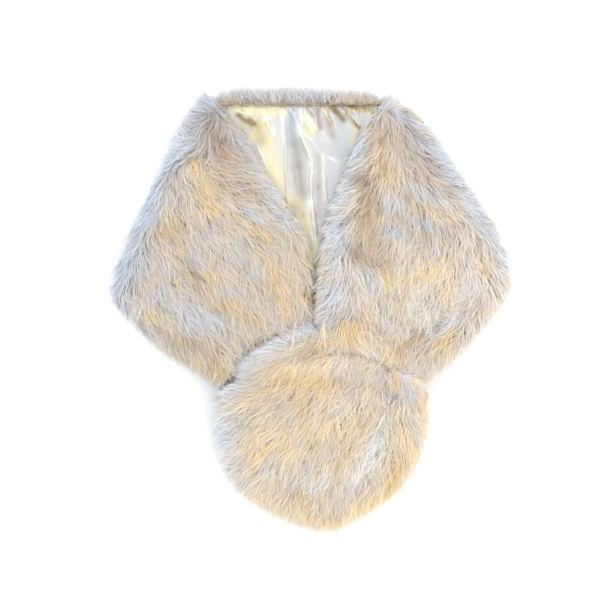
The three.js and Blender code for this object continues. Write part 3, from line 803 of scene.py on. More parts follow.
@dataclass
class Coat:
    """The hairs of one stretch: tapered ribbons in locks, combed by strokes."""

    name: str
    strokes: tuple[Stroke, ...]
    hairs: int
    seed: int
    zone: Zone = Zone.ALL
    length: float = 29 * MM
    width: float = 0.46 * MM
    depth: float = 8 * MM  # from the tips' surface to the roots
    in_lock: int = 5  # hairs in a lock
    lock_radius: float = 2.8 * MM
    gather: float = 0.75  # how far the hairs of a lock draw together at their tips
    lean: float = 0.76  # 0 stands up and 1 lies flat
    bend: float = 0.5  # how much flatter the tips lie than the roots
    sway: float = math.radians(40)  # how far a lock bows sideways
    lock_stray: float = math.radians(19)  # how far a lock strays from the comb
    hair_stray: float = math.radians(11)  # and a hair from its lock
    droop: float = 0.45  # how much the hairs on a side hang down
    overhang: float = 3 * MM  # how far the tips pass the solid's outline
    fuzz: float = 6 * MM  # how much further some tips may pass it
    side_density: float = 1.4  # how dense the pile on the sides is, where the top's is 1
    underside: float = 0.0  # and on the table side
    seam_density: float = 2.2  # how much denser it is at a seam that two stretches of pile close
    bridge: float = 29 * MM  # the roots' height over such a seam
    tuck: float = 0.0  # how far the roots reach back there, under the stretch before this one
    lowest: float = 0.4 * MM
    highest: float = 49.5 * MM
    least_y: float = -1.0  # the tips stay on this line's +Y side
    rim_line: float = 205 * MM  # a rim grows on this line's +Y side
    spills: tuple[Spill, ...] = ()

    SEGMENTS = 3
    TAPER = (0.75, 1.0, 0.72, 0.0)  # the width along a hair
    FLATNESS = (0.05, 0.97)  # the least and the most that a stretch of hair leans
    FOLLOW = 0.55  # how much of the comb's lean into or out of a slope is taken away
    UPWARD, DOWNWARD = 0.25, -0.5  # a normal's z above the one is a top, and below the other an underside
    SEAM_SPILL = 8 * MM  # the spill that makes a seam
    SEAM_HEIGHT = 22 * MM  # seams are denser above this
    SEAM_PALENESS = 0.62  # hairs over a seam start this far along their colours
    LOCK_LENGTHS, HAIR_LENGTHS, WIDTHS = (0.75, 1.2), (0.8, 1.12), (0.75, 1.3)  # shares of the usual ones
    RAGGED, UNEVEN, FUZZY = (0.1, 1.6), (-1.3, 1.4), 0.22  # shares of a spill, the overhang and the tips
    EDGE_JITTER, TOP_JITTER = 1.5 * MM, 3 * MM  # how uneven the limits are
    LOCK_TONE, HAIR_TONE = 0.16, 0.36  # how light or dark a lock is, and a hair in it
    TONE_WARMTH = 0.6  # how much a lock's tone tints it warm or cool
    LOCK_SPREAD, RUFFLE, CRIMP, TWIST = 0.6, 0.10, 0.05, 0.5  # how unlike neighbouring hairs lie

    def density(self, triangles: np.ndarray) -> np.ndarray:
        """How dense the hairs grow on each triangle, by how it faces and by the coat's zone.

        Args:
            triangles: the corners.

        Returns:
            A weight for each triangle.
        """
        facing = unit(crossed(triangles))[:, 2]
        top, under = facing > self.UPWARD, facing <= self.DOWNWARD
        even = np.where(top, 1.0, np.where(under, self.underside, self.side_density))
        middle = triangles.mean(axis=1)
        even = even * (1 + self.seam_density * self.seam(middle) * (middle[:, 2] > self.SEAM_HEIGHT))
        if self.zone is Zone.RIM:
            return even * (middle[:, 1] > self.rim_line) * ~under
        if self.zone is Zone.SKIRT:
            return even * ~top
        return even

    def seam(self, points: np.ndarray) -> np.ndarray:
        """How near points are to a seam that two stretches of pile close, from 0 to 1."""
        return np.clip(spilled(self.spills, points) / self.SEAM_SPILL, 0, 1)

    def grow(self, footprint: Footprint, streaks: tuple[Tint, ...]) -> Object:
        """Grows the hairs over a solid.

        A hair leaves its root between the surface's normal and the way it is combed, and bends over by lean as
        it grows. Its points are the running sum of those directions, drawn together towards the lock's middle,
        and the whole hair is drawn back until its tip passes the outline by no more than the overhang. Its
        width runs across it and shrinks to a point.

        Args:
            footprint: the solid.
            streaks: the tints of the pile.

        Returns:
            The coat's object.
        """
        rng = np.random.default_rng(self.seed)
        locks = self.hairs // self.in_lock
        centres, normals = scattered(footprint.triangles, self.density(footprint.triangles), locks, rng)
        stray = rng.normal(0, self.lock_stray, locks) + wander(centres)
        comb = turned(combed(self.strokes, centres), stray)
        tone = rng.normal(0, self.LOCK_TONE, locks)
        reach = self.length * rng.uniform(*self.LOCK_LENGTHS, locks)

        lock = np.repeat(np.arange(locks), self.in_lock)
        count = len(lock)
        spread = rng.normal(0, self.lock_radius * self.LOCK_SPREAD, (count, 3))
        normal = unit(normals[lock] + rng.normal(0, self.RUFFLE, (count, 3)))
        spread -= (spread * normal).sum(axis=1, keepdims=True) * normal
        root = centres[lock] - normals[lock] * self.depth + spread
        level = turned(comb[lock], rng.normal(0, self.hair_stray, count))
        sway = rng.normal(0, self.sway, locks)[lock]
        step = reach[lock] * rng.uniform(*self.HAIR_LENGTHS, count) / self.SEGMENTS

        bridged = self.seam(root)[:, None]
        root[:, 2:] += bridged * np.maximum(self.bridge - root[:, 2:], 0)
        root -= level * bridged * self.tuck
        normal = unit(normal * (1 - bridged) + UP * bridged)
        spine = [root]
        directions = []
        for k in range(self.SEGMENTS):
            along = (k + 0.5) / self.SEGMENTS
            flat = np.clip(self.lean + self.bend * (along - 0.5), *self.FLATNESS)
            bowed = turned(level, sway * (along - 0.5))
            way = unit(bowed - self.FOLLOW * (bowed * normal).sum(axis=1, keepdims=True) * normal)
            hang = -UP * self.droop * along * (1 - np.abs(normal[:, 2:]))
            direction = unit(way * flat + normal * (1 - flat) + hang + rng.normal(0, self.CRIMP, (count, 3)))
            gather = -spread * (self.gather / self.SEGMENTS)
            spine.append(spine[-1] + direction * step[:, None] + gather)
            directions.append(direction)
        spine = self.held_in(np.stack(spine), footprint, lock, rng)

        across = self.turned_across(np.stack([directions[0], *directions]), normal, rng)
        widths = self.width * rng.uniform(*self.WIDTHS, count)[None, :, None]
        half = across * np.array(self.TAPER)[:, None, None] * widths / 2
        piece = self.ribbons(spine, half)

        per_hair = 2 * self.SEGMENTS + 1
        along = np.tile(np.array([0, 0, 1, 1, 2, 2, 3]) / self.SEGMENTS, count)
        least = np.repeat(self.SEAM_PALENESS * bridged.ravel(), per_hair)
        set_attribute(piece, "along", np.maximum(along, least))
        for which, share in (("warm", self.TONE_WARMTH), ("painted_shade_and_brown", 0.0)):
            tint = tinted(streaks, spine[2, :, 0], spine[2, :, 1], which)
            set_attribute(piece, which, np.repeat(tint + share * tone[lock], per_hair))
        set_attribute(piece, "lock", np.repeat(tone[lock] + rng.normal(0, self.HAIR_TONE, count), per_hair))
        own_cells(piece, count)
        soften(piece, np.repeat(normal, per_hair, axis=0))
        LOG.info("%s: %d hairs", self.name, count)
        return piece

    def held_in(
        self, spine: np.ndarray, footprint: Footprint, lock: np.ndarray, rng: np.random.Generator
    ) -> np.ndarray:
        """The hairs drawn back to a ragged outline, and held between the coat's lowest and highest z.

        Args:
            spine: the hairs' points, as an array of steps along the hair by hairs by 3.
            footprint: the solid.
            lock: the number of each hair's lock.
            rng: the seeded generator.

        Returns:
            The moved points.
        """
        count = len(lock)
        ragged = rng.uniform(*self.RAGGED, lock[-1] + 1)[lock]
        allowed = self.overhang * rng.uniform(*self.UNEVEN, count) + spilled(self.spills, spine[-1]) * ragged
        allowed += self.fuzz * rng.random(count) * (rng.random(count) < self.FUZZY)
        spine += footprint.drawn_back(spine[-1], allowed)
        spine[1:] += footprint.drawn_back(spine[2], allowed)
        spine[..., 1] = np.maximum(spine[..., 1], self.least_y + rng.uniform(0, self.EDGE_JITTER, count))
        top = self.highest - rng.uniform(0, self.TOP_JITTER, count)
        spine[..., 2] = np.clip(spine[..., 2], self.lowest + rng.uniform(0, self.EDGE_JITTER, count), top)
        return spine

    def turned_across(self, bent: np.ndarray, normal: np.ndarray, rng: np.random.Generator) -> np.ndarray:
        """The ways that the hairs' widths run: level with the surface, and turned at random about the hair.

        Args:
            bent: the hairs' directions at each step along them.
            normal: the surface's normal at each hair.
            rng: the seeded generator.

        Returns:
            A unit vector for each step of each hair.
        """
        bent = unit(bent)
        across = unit(np.cross(bent, normal))
        twist = rng.normal(0, self.TWIST, len(normal))[None, :, None]
        return unit(across * np.cos(twist) + np.cross(bent, across) * np.sin(twist))

    def ribbons(self, spine: np.ndarray, half: np.ndarray) -> Object:
        """The coat's mesh: for each hair two quads from its root, and a triangle to its tip.

        Args:
            spine: the hairs' points, as an array of steps along the hair by hairs by 3.
            half: half the width at each of them, as a vector.

        Returns:
            The coat's object, without attributes.
        """
        rows = [side for k in range(self.SEGMENTS) for side in (spine[k] - half[k], spine[k] + half[k])]
        points = np.stack([*rows, spine[-1]], axis=1)
        start = np.arange(len(points)) * points.shape[1]
        first = (start[:, None] + 2 * np.arange(self.SEGMENTS - 1)).ravel()
        quads = np.stack([first, first + 1, first + 3, first + 2], axis=1)
        tip = start + 2 * (self.SEGMENTS - 1)
        sharp = np.stack([tip, tip + 1, tip + 2], axis=1)
        return new_piece(self.name, points.reshape(-1, 3), quads.tolist() + sharp.tolist())


@dataclass
class Pile:
    """One stretch of deep pile in a CAD solid's place: a dense underfur and the coats that grow out of it."""

    node: str
    coats: list[Coat]
    tints: tuple[Tint, ...]
    flat: tuple[float, float]
    flat_area: float
    rests_on: list[str]
    depth: float = 8 * MM
    lowest: float = 0.4 * MM
    thinnest: float = 2 * MM
    lift: float = 0.3 * MM  # how far the underside of an upper layer stands over its solid's

    SMOOTHINGS = 3
    UPPER_LAYER = 10 * MM  # an underside above this belongs to an upper layer

    def build(self, hair: Material, underfur: Material) -> None:
        """Args:
            hair: the hairs' material.
            underfur: the underfur's material.
        """
        footprint = Footprint(node_triangles(self.node), np.random.default_rng(5))
        core = self.grow_underfur(footprint)
        core.data.materials.append(underfur)
        coats = [coat.grow(footprint, self.tints) for coat in self.coats]
        for coat in coats:
            coat.data.materials.append(hair)
        for piece in (core, *coats):
            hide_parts(self.node)
        LOG.info("%s: %d faces of underfur", self.node, len(core.data.polygons))

    def grow_underfur(self, footprint: Footprint) -> Object:
        """The underfur: a closed body between two height fields over the footprint's cells.

        The top lies depth below the highest z and is smoothed three times over its neighbours, the bottom lies
        on the lowest z, and the outline is drawn in by a cell.

        Args:
            footprint: the solid.

        Returns:
            The underfur's object.
        """
        inside = footprint.drawn_in(footprint.inside)
        bottom = np.where(inside, np.maximum(footprint.bottom, self.lowest), 0)
        bottom = np.where(bottom > self.UPPER_LAYER, bottom + self.lift, bottom)
        top = np.where(inside, np.maximum(footprint.top - self.depth, bottom + self.thinnest + 0.5 * MM), 0)
        weight = sum(np.roll(inside, step, (0, 1)).astype(float) for step in NEIGHBOURS) + 1
        for _ in range(self.SMOOTHINGS):
            top = np.where(inside, (top + sum(np.roll(top, step, (0, 1)) for step in NEIGHBOURS)) / weight, 0)
        top = np.where(inside, np.maximum(top, bottom + self.thinnest), 0)
        number = np.cumsum(inside.ravel()).reshape(inside.shape) - 1
        count = int(inside.sum())
        i, j = np.nonzero(inside)
        x, y = footprint.low[0] + i * footprint.cell, footprint.low[1] + j * footprint.cell
        tops = np.stack([x, y, top[i, j]], axis=1)
        bottoms = np.stack([x, y, bottom[i, j]], axis=1)
        full = inside & np.roll(inside, -1, 0) & np.roll(inside, -1, 1) & np.roll(inside, (-1, -1), (0, 1))
        a, b = np.nonzero(full)
        quad = np.stack([number[a, b], number[a + 1, b], number[a + 1, b + 1], number[a, b + 1]], axis=1)
        faces = [quad, quad[:, ::-1] + count]
        sides = [((0, -1), 0, 1), ((1, 0), 1, 2), ((0, 1), 2, 3), ((-1, 0), 3, 0)]
        for (di, dj), first, second in sides:
            edge = quad[~full[a + di, b + dj]]
            rim = [edge[:, first], edge[:, first] + count, edge[:, second] + count, edge[:, second]]
            faces.append(np.stack(rim, axis=1))
        points = np.vstack([tops, bottoms])
        piece = new_piece(f"underfur_{self.node}", points, np.vstack(faces).tolist())
        take_out_loose_points(piece)
        piece.data.shade_smooth()
        points = vertex_array(piece.data)
        for which in ("warm", "painted_shade_and_brown"):
            set_attribute(piece, which, tinted(self.tints, points[:, 0], points[:, 1], which))
        return piece


def take_out_loose_points(piece: Object) -> None:
    """Takes out the vertices that no face uses."""
    shape = bmesh.new()
    shape.from_mesh(piece.data)
    bmesh.ops.delete(shape, geom=[v for v in shape.verts if not v.link_faces], context="VERTS")
    shape.to_mesh(piece.data)
    shape.free()


def own_cells(piece: Object, hairs: int) -> None:
    """Gives each hair a square cell of its own on the piece's map, its width along U and its length along V.

    Args:
        piece: the ribbons, of 7 vertices each.
        hairs: how many there are.
    """
    side = math.ceil(math.sqrt(hairs))
    hair = np.repeat(np.arange(hairs), 7)
    across = np.tile([0.15, 0.85, 0.15, 0.85, 0.15, 0.85, 0.5], hairs)
    along = np.tile([0.1, 0.1, 0.37, 0.37, 0.63, 0.63, 0.9], hairs)
    place = np.stack([hair % side + across, hair // side + along], axis=1) / side
    vertex = np.empty(len(piece.data.loops), np.int32)
    piece.data.loops.foreach_get("vertex_index", vertex)
    layer = piece.data.uv_layers.new(name="OFBake")
    layer.uv.foreach_set("vector", place[vertex].astype(np.float32).ravel())


def soften(piece: Object, normals: np.ndarray) -> None:
    """Shades ribbons half by the pile's own surface, so that the coat reads as soft and not as slats.

    Args:
        piece: the ribbons.
        normals: the pile surface's normal at each vertex.
    """
    surface_share = 0.8
    mesh = piece.data
    mesh.shade_smooth()
    own = np.empty(len(mesh.vertices) * 3, np.float32)
    mesh.vertex_normals.foreach_get("vector", own)
    own = own.reshape(-1, 3)
    own *= np.where((own * normals).sum(axis=1, keepdims=True) < 0, -1, 1)
    mesh.normals_split_custom_set_from_vertices(unit(own + surface_share * normals).tolist())


@dataclass
class NeckLining:
    """The satin behind the neck: a 1 mm shell with gathers at the neck seam and long folds below them."""

    node: str = "back_lining"
    wall: float = 1 * MM
    across: int = 150
    down: int = 150
    bands: int = 24  # in which the CAD lining's edges are measured
    inset: float = 1 * MM
    past_seam: float = 5.2 * MM
    clearance: float = 0.25 * MM
    gathers: int = 34
    gather_height: float = 1.5 * MM
    gathered_width: float = 150 * MM
    swell: float = 0.7 * MM
    flat_edge: tuple[float, float] = (17 * MM, 25 * MM)  # how far in the folds start, and are full
    ridges: tuple[Fold, ...] = each(Fold,
        ((232, 108), (248, 112), 2.5, 2.5), ((262, 106), (272, 132), 2.5, 3.0),
        ((250, 124), (272, 116), 3, 2), ((284, 106), (288, 216), 2.4, 3.6),
        ((288, 104), (298, 124), 1.8, 3.0), ((301, 104), (301, 122), 1.8, 2.5),
        ((299, 127), (312, 162), 2.4, 4.5), ((312, 160), (311, 202), 2.2, 5.0),
        ((311, 198), (317, 240), 2.2, 5.0), ((317, 236), (317, 266), 2.2, 4.5),
        ((300, 128), (322, 151), 1.8, 1.1), ((322, 151), (340, 168), 2.2, 0.9),
        ((322, 153), (328, 205), 2.2, 2.4), ((309, 104), (316, 117), 1.8, 2.5),
        ((324, 106), (332, 124), 3.2, 4.0), ((338, 106), (360, 128), 3.0, 4.0),
        ((350, 106), (368, 118), 3.0, 3.0), ((304, 116), (312, 130), 3.6, 2.5),
    )
    creases: tuple[Fold, ...] = each(Fold,
        ((236, 112), (252, 122), 3.0, -1.4), ((330, 108), (348, 126), 2.6, -1.4),
        ((318, 107), (320, 128), 2.4, -2.0), ((320, 155), (318, 212), 2.4, -1.0),
        ((288, 110), (291, 190), 3.0, -1.2), ((345, 112), (358, 128), 1.8, -1.2),
        ((255, 140), (268, 172), 2.0, 1.0), ((268, 140), (276, 178), 2.2, 0.8),
        ((292, 150), (298, 190), 2.0, 0.8),
    )
    # Painted reflection, shade and highlight of the folds: butter where a fold turns to the light, grey-blue
    # and brown on shaded sides and in creases, white along the ridges, and a brown line of painted shade at
    # the neck seam.
    tints: tuple[Tint, ...] = each(Tint,
        ((240, 104), (376, 103), 1.8, 0.5, 0.5), ((264, 152), (281, 198), 10, 0.75, -0.1),
        ((268, 134), (279, 170), 9, 0.35, -0.1), ((233, 108), (282, 110), 5, 0.8),
        ((240, 120), (262, 122), 6, 0.5, 0.15), ((300, 200), (304, 235), 6, 0.5),
        ((255, 132), (266, 140), 5, 0.5), ((262, 124), (250, 138), 5, 0.6),
        ((237, 113), (252, 122), 3.0, 0.2, 0.95), ((255, 124), (262, 140), 7, 0.1, 0.48),
        ((297, 138), (300, 206), 6.5, 0.05, 0.24), ((290, 110), (291, 142), 4.6, -0.5, 0.12),
        ((294, 142), (297, 165), 4, -0.25, 0.1), ((294, 115), (300, 190), 6, -0.3, 0.1),
        ((298, 165), (303, 195), 6, -0.1, 0.22), ((299, 128), (309, 152), 2.2, 0.4, -0.4),
        ((309, 152), (312, 172), 2.2, 0.4, -0.4), ((312, 172), (310, 200), 2.2, 0.4, -0.4),
        ((310, 200), (313, 222), 2.6, 0.5, -0.5), ((313, 222), (318, 262), 2.6, 0.5, -0.6),
        ((301, 104), (301, 122), 1.6, 0, -0.45), ((289, 104), (298, 126), 1.6, 0, -0.45),
        ((283, 108), (283, 140), 1.2, 0, -0.4), ((322, 152), (327, 200), 1.8, 0, -0.2),
        ((300, 128), (338, 168), 1.6, 0, -0.1), ((262, 108), (272, 132), 1.4, 0, -0.35),
        ((315, 165), (315, 205), 2.4, -0.4, -0.2), ((335, 134), (346, 160), 9, -0.3, 0.05),
        ((256, 148), (263, 160), 5, -0.4), ((338, 117), (346, 122), 4, -0.5),
        ((318, 154), (319, 186), 3.6, 0.1, 0.28), ((319, 186), (318, 215), 3, 0.1, 0.3),
        ((318, 108), (320, 127), 2.8, 0, 0.7), ((329, 122), (332, 135), 4, 0, 0.35),
        ((347, 113), (362, 127), 2.6, 0.7, 0.8), ((366, 110), (373, 117), 2.3, 0.3, -0.4),
        ((333, 105), (345, 119), 2.8, 0.4, 1.1), ((341, 112), (352, 125), 1.8, 0.1, -0.5),
        ((307, 105), (314, 114), 1.3, 0, 0.5), ((306, 115), (310, 130), 4.6, 0.8),
        ((350, 105), (374, 109), 3.5, 1.1, 0.5), ((357, 127), (353, 140), 3, 0.6),
        ((325, 108), (334, 125), 2.6, 0.6, 0.35), ((290, 203), (300, 215), 6, 0.25, 0.3),
        ((304, 215), (311, 248), 2.6, 0.5, 0.3), ((313, 255), (316, 268), 3, 0.9, 0.1),
    )

    def build(self, satin: Material) -> None:
        """Args:
            satin: its material.
        """
        triangles = node_triangles(self.node)
        corners = triangles.reshape(-1, 3)
        low, high = corners.min(axis=0), corners.max(axis=0)
        points, _ = scattered(triangles, np.ones(len(triangles)), 60_000, np.random.default_rng(3))
        left, right, rows = self.sides(points)
        y = np.linspace(high[1] + self.past_seam, low[1] + 0.5 * MM, self.down)
        w = np.linspace(0, 1, self.across)
        x_left = np.interp(-y, -rows, left)[:, None]
        x_right = np.interp(-y, -rows, right)[:, None]
        x = x_left * (1 - w) + x_right * w
        y = np.repeat(y[:, None], self.across, axis=1)
        u, v = self.warped(x, y)
        z = low[2] + self.clearance + self.raised(u, v, x - x_left, x_right - x, y.max() - y)
        top = np.stack([x, y, z + self.wall - self.clearance], axis=-1).reshape(-1, 3)
        bottom = np.stack([x, y, z], axis=-1).reshape(-1, 3)
        faces = shell_faces(self.down, self.across)
        piece = new_piece("neck_lining", np.vstack([top, bottom]), faces)
        piece.data.shade_smooth()
        for which in ("warm", "painted_shade_and_brown"):
            set_attribute(piece, which, np.tile(tinted(self.tints, u, v, which).ravel(), 2))
        piece.data.materials.append(satin)
        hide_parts(self.node)
        LOG.info("neck lining: %d faces", len(faces))

    def sides(self, points: np.ndarray) -> tuple[np.ndarray, np.ndarray, np.ndarray]:
        """The CAD lining's left and right edge, drawn in a little, in bands of y.

        Args:
            points: many points all over it.

        Returns:
            The lowest x, the highest x and the middle y of each band.
        """
        lines = np.linspace(points[:, 1].max(), points[:, 1].min(), self.bands + 1)
        held = [points[(points[:, 1] <= a) & (points[:, 1] >= b)][:, 0] for a, b in zip(lines, lines[1:])]
        left = np.array([x.min() for x in held]) + self.inset
        right = np.array([x.max() for x in held]) - self.inset
        return left, right, (lines[1:] + lines[:-1]) / 2

    @staticmethod
    def warped(x: np.ndarray, y: np.ndarray) -> tuple[np.ndarray, np.ndarray]:
        """Places moved by crossed waves of up to 1.5 mm, so that straight folds wander as cloth does.

        Args:
            x: the points' x.
            y: the points' y.

        Returns:
            The moved x and y.
        """
        u = x + MM * (0.5 * np.sin(y * 150 + x * 90) + 0.22 * np.sin(y * 430 - x * 300))
        v = y + MM * (1.0 * np.sin(x * 260 + y * 70) + 0.5 * np.sin(x * 700 + y * 400))
        return u, v

    def raised(
        self,
        x: np.ndarray,
        y: np.ndarray,
        from_left: np.ndarray,
        from_right: np.ndarray,
        from_top: np.ndarray,
    ) -> np.ndarray:
        """How high the cloth stands: the highest fold, the creases, and a row of gathers that fade downwards.

        The gathers are sine waves across the neck whose spacing two longer waves vary, and they fade over 6
        to 16 mm from the seam. Between the folds the cloth swells in wide low waves.

        Args:
            x: the points' x.
            y: the points' y.
            from_left: how far in from the left edge they lie.
            from_right: and from the right edge.
            from_top: and from the neck seam.

        Returns:
            The height over the flat lining.
        """
        ridge = np.max([fold.raised(x, y) for fold in self.ridges], axis=0)
        crease = np.sum([fold.raised(x, y) for fold in self.creases], axis=0)
        phase = x * 2 * np.pi * self.gathers / self.gathered_width
        phase += 1.4 * np.sin(x * 95.0) + 0.5 * np.sin(x * 310.0)
        fade = np.exp(-from_top / (11 * MM + 5 * MM * np.sin(x * 160.0)))
        gathers = self.gather_height * (0.5 + 0.5 * np.sin(phase)) * fade
        swell = self.swell * (0.5 + 0.5 * np.sin(x * 120 + y * 40)) * smoothstep(from_top, 10 * MM, 40 * MM)
        edges = smoothstep(from_left, *self.flat_edge) * smoothstep(from_right, *self.flat_edge)
        return (np.maximum(ridge + crease, swell) + gathers) * edges * smoothstep(from_top, 0, 4 * MM)


def shell_faces(rows: int, columns: int) -> list[list[int]]:
    """The faces of a closed shell over a grid, whose top vertices come first and then its bottom ones.

    Args:
        rows: the grid's rows, which run towards -Y.
        columns: its columns, which run towards +X.

    Returns:
        Quads that face outwards.
    """
    number = np.arange(rows * columns).reshape(rows, columns)
    under = number + rows * columns
    a, b, c, d = number[:-1, :-1], number[1:, :-1], number[1:, 1:], number[:-1, 1:]
    top = np.stack([a, b, c, d], axis=-1).reshape(-1, 4)
    bottom = np.stack([a, d, c, b], axis=-1).reshape(-1, 4) + rows * columns
    quads = [top, bottom]
    loops = [(number[:, 0], under[:, 0]), (number[-1, :], under[-1, :])]
    loops += [(number[::-1, -1], under[::-1, -1]), (number[0, ::-1], under[0, ::-1])]
    for over, below in loops:
        quads.append(np.stack([over[:-1], below[:-1], below[1:], over[1:]], axis=-1))
    return np.vstack(quads).tolist()


@dataclass
class TableSideLining:
    """A stretch of satin that lies on the table: the CAD solid's form with a puckered edge."""

    node: str
    flat: tuple[float, float]
    area: float
    drawn_in: float = 0.992  # of the solid's size, so that it shows no wall past the fur
    pucker: float = 0.15 * MM

    def build(self, satin: Material) -> None:
        """Makes the stretch from a finer copy of its solid, whose corners are moved a little by waves.

        Args:
            satin: its material.
        """
        shape = bmesh.new()
        shape.from_mesh(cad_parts[self.node].data)
        bmesh.ops.remove_doubles(shape, verts=shape.verts, dist=1e-6)
        bmesh.ops.subdivide_edges(shape, edges=shape.edges, cuts=2, use_grid_fill=True)
        bmesh.ops.recalc_face_normals(shape, faces=shape.faces)
        piece = new_piece(f"satin_{self.node}", np.zeros((0, 3)), [])
        shape.to_mesh(piece.data)
        shape.free()
        points = vertex_array(piece.data)
        ripple = np.sin(points[:, 0] * 260) * np.sin(points[:, 1] * 210 + 1.0)
        middle = points[:, :2].mean(axis=0)
        points[:, :2] = middle + (points[:, :2] - middle) * (self.drawn_in + 0.003 * ripple[:, None])
        off_table = points[:, 2] > 0.5 * MM
        points[:, 2] = np.maximum(points[:, 2] - self.pucker * (1 + ripple) * off_table, 0)
        piece.data.vertices.foreach_set("co", points.ravel())
        piece.data.update()
        piece.data.shade_smooth()
        # Painted sheen: the warmth rises and falls with the same ripple that puckers the edge.
        set_attribute(piece, "warm", 0.3 * ripple + 0.2)
        set_attribute(piece, "painted_shade_and_brown", np.zeros(len(points)))
        piece.data.materials.append(satin)
        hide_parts(self.node)
        LOG.info("%s: %d faces", piece.name, len(piece.data.polygons))


@dataclass
class SlitStitches:
    """Small slip stitches along the slit's lip, where the tail comes through."""

    radius: float = 0.28 * MM
    height: float = 42 * MM
    arch: float = 1.2 * MM
    starts: float = 0.15  # the share of the way between two points of the line where a stitch starts
    ends: float = 0.8
    steps: int = 9  # rings along a stitch
    sides: int = 8
    line: tuple[Pixel, ...] = (
        (354, 351.5), (358, 350), (363, 349.5), (368, 351), (373, 354), (377, 358), (381, 362), (386, 364),
        (391, 365), (397, 364),
    )

    def build(self, thread: Material) -> None:
        """Makes each stitch as a short arched tube with round ends between neighbouring points of the line.

        Args:
            thread: its material.
        """
        places = at_pixel(*zip(*self.line))
        starts = places[:-1] * (1 - self.starts) + places[1:] * self.starts
        ends = places[:-1] * (1 - self.ends) + places[1:] * self.ends
        along = np.linspace(0, 1, self.steps)
        angle = np.linspace(0, 2 * np.pi, self.sides + 1)[:-1]
        level = starts[:, None] * (1 - along[:, None]) + ends[:, None] * along[:, None]
        z = self.height + self.arch * np.sin(np.pi * along)
        centre = np.concatenate([level, np.broadcast_to(z[:, None], level.shape[:2] + (1,))], axis=-1)
        forward = unit(np.gradient(centre, axis=1))
        side = unit(np.cross(forward, UP))
        rise = np.cross(side, forward)
        girth = self.radius * np.sqrt(np.clip(1 - (2 * along - 1) ** 8, 0.02, 1))[None, :, None, None]
        ring = np.cos(angle)[:, None] * side[:, :, None] + np.sin(angle)[:, None] * rise[:, :, None]
        points = (centre[:, :, None] + girth * ring).reshape(-1, 3)
        number = np.arange(len(points)).reshape(len(starts), self.steps, self.sides)
        after = np.roll(number, -1, axis=2)
        wall = np.stack([number[:, :-1], after[:, :-1], after[:, 1:], number[:, 1:]], axis=-1).reshape(-1, 4)
        faces = wall.tolist() + number[:, 0, ::-1].tolist() + number[:, -1].tolist()
        piece = new_piece("slit_stitches", points, faces)
        piece.data.shade_smooth()
        piece.data.materials.append(thread)
        LOG.info("slit: %d stitches", len(starts))


@dataclass(frozen=True)
class Lamp:
    """A square area light that points at the wrap's middle."""

    name: str
    place: tuple[float, float, float]
    size: float
    power: float
    colour: tuple[float, float, float]

    def build(self) -> None:
        """Makes the light and turns it."""
        light = bpy.data.lights.new(self.name, "AREA")
        light.size = self.size
        light.energy = self.power
        light.color = self.colour
        holder = bpy.data.objects.new(self.name, light)
        holder.location = self.place
        x, y, z = self.place
        holder.rotation_euler = (math.atan2(math.hypot(x, y), z), 0, math.atan2(x, -y))
        bpy.context.collection.objects.link(holder)


@dataclass
class Studio:
    """The pale floor, the soft lights and the camera straight above."""

    lens: float = 70.0
    sensor: float = 36.0
    focus_height: float = 30 * MM
    floor_reach: float = 3.0  # from the middle to each side
    sky: Colour = (0.93, 0.96, 1.0, 1)
    sky_strength: float = 0.82
    lamps: tuple[Lamp, ...] = (
        Lamp("Key", (0.70, -0.65, 1.25), 2.0, 17.5, (1.0, 0.97, 0.92)),
        Lamp("Fill", (-0.85, 0.60, 0.9), 0.9, 8.0, (0.84, 0.92, 1.0)),
        Lamp("Warm", (0.5, 0.95, 0.7), 0.5, 5.0, (1.0, 0.95, 0.86)),
    )

    def build(self) -> None:
        """Makes the floor, the lights, the world and the camera."""
        self.floor()
        for lamp in self.lamps:
            lamp.build()
        world = bpy.data.worlds.new("Soft room")
        world.use_nodes = True
        feed(world.node_tree.nodes["Background"], {"Color": self.sky, "Strength": self.sky_strength})
        bpy.context.scene.world = world
        bpy.context.scene.view_settings.view_transform = "Standard"
        self.camera()

    def floor(self) -> None:
        """A plain pale floor just below the wrap."""
        mesh = bpy.data.meshes.new("floor")
        side = self.floor_reach
        corners = [(-side, -side, 0), (side, -side, 0), (side, side, 0), (-side, side, 0)]
        mesh.from_pydata(corners, [], [(0, 1, 2, 3)])
        floor = bpy.data.objects.new("floor", mesh)
        bpy.context.collection.objects.link(floor)
        material, _, shader = new_material("Pale floor")
        feed(shader, {"Base Color": (0.96, 0.96, 0.96, 1), "Roughness": 0.9, "Specular IOR Level": 0.1})
        mesh.materials.append(material)

    def camera(self) -> None:
        """A camera straight above, as far off as frames the wrap like the photo."""
        middle = at_pixel(PHOTO_SIDE / 2, PHOTO_SIDE / 2)
        distance = PHOTO_SIDE * PHOTO_SCALE * self.lens / self.sensor
        data = bpy.data.cameras.new("Camera")
        data.lens = self.lens
        data.sensor_width = self.sensor
        camera = bpy.data.objects.new("Camera", data)
        camera.location = (middle[0], middle[1], self.focus_height + distance)
        bpy.context.collection.objects.link(camera)
        bpy.context.scene.camera = camera


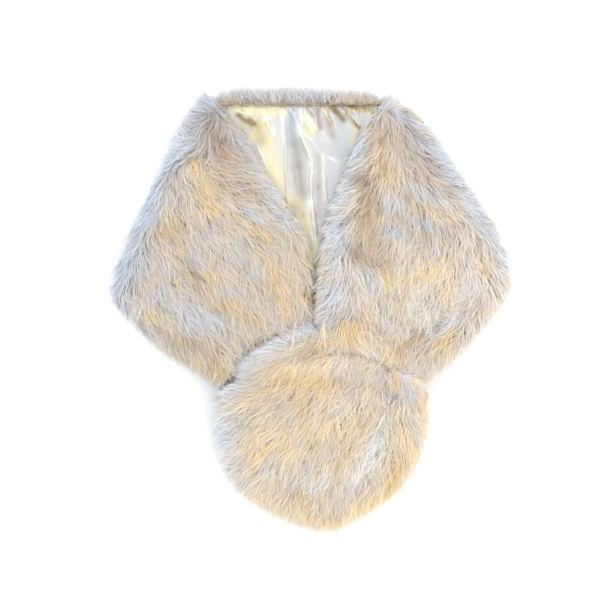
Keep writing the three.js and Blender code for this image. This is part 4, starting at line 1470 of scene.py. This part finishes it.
def piles() -> list[Pile]:
    """The wrap's stretches of pile, with the cut of each."""
    short = {"length": 18 * MM, "depth": 6 * MM, "lean": 0.6}
    left = Coat("coat_left_front", LEFT_STROKES, 38_000, 11, spills=V_EDGES)
    right = Coat("coat_right_front", RIGHT_STROKES, 38_000, 12, spills=V_EDGES + SLIT_EDGES)
    tail = Coat("coat_tail", TAIL_STROKES, 38_000, 13, spills=SLIT_EDGES, tuck=7 * MM)
    band = Coat("coat_band", BAND_STROKES, 12_000, 14, overhang=5 * MM, side_density=2.0, spills=SLIT_EDGES)
    end = Coat("coat_end", TAIL_STROKES, 10_000, 15, side_density=7.0, zone=Zone.SKIRT, **short)
    skirt = Coat("coat_back", NECK_STROKES, 13_000, 16, zone=Zone.SKIRT, underside=0.15, **short)
    upward = {"length": 18 * MM, "depth": 5 * MM, "lean": 0.66, "least_y": 217.5 * MM, "width": 0.37 * MM}
    rim = Coat("coat_rim", NECK_STROKES, 16_500, 17, zone=Zone.RIM, overhang=4 * MM, fuzz=9 * MM, **upward)
    over_hem = ["back_fur", "front_lining"]
    return [
        Pile("left_front_fur", [left], LEFT_TINTS, (0.315, 0.225), 0.062, over_hem),
        Pile("right_front_fur", [right], RIGHT_TINTS, (0.315, 0.225), 0.062, over_hem),
        Pile("tail_fur", [tail], TAIL_TINTS, (0.225, 0.19), 0.037, ["end_fur", "front_lining"]),
        Pile("slit_band_fur", [band], BAND_TINTS, (0.11, 0.04), 0.0030, ["front_lining"]),
        Pile("end_fur", [end], TAIL_TINTS, (0.225, 0.165), 0.034, ["end_lining"], depth=6 * MM),
        Pile("back_fur", [skirt, rim], NECK_TINTS, (0.39, 0.235), 0.072, ["floor"], depth=5 * MM),
    ]


def main() -> None:
    """Builds the wrap and its studio, and reports each piece."""
    logging.basicConfig(level=logging.INFO, format="%(name)s: %(message)s")
    tinting = tint_group()
    hair = HairFinish().made(tinting)
    underfur = UnderfurFinish().made(tinting)
    satin = SatinFinish().made(tinting)
    for pile in piles():
        pile.build(hair, underfur)
    NeckLining().build(satin)
    TableSideLining("front_lining", flat=(0.385, 0.095), area=0.030).build(satin)
    TableSideLining("end_lining", flat=(0.22, 0.165), area=0.030).build(satin)
    SlitStitches().build(ThreadFinish().made())
    Studio().build()


if __name__ == "__main__":
    main()
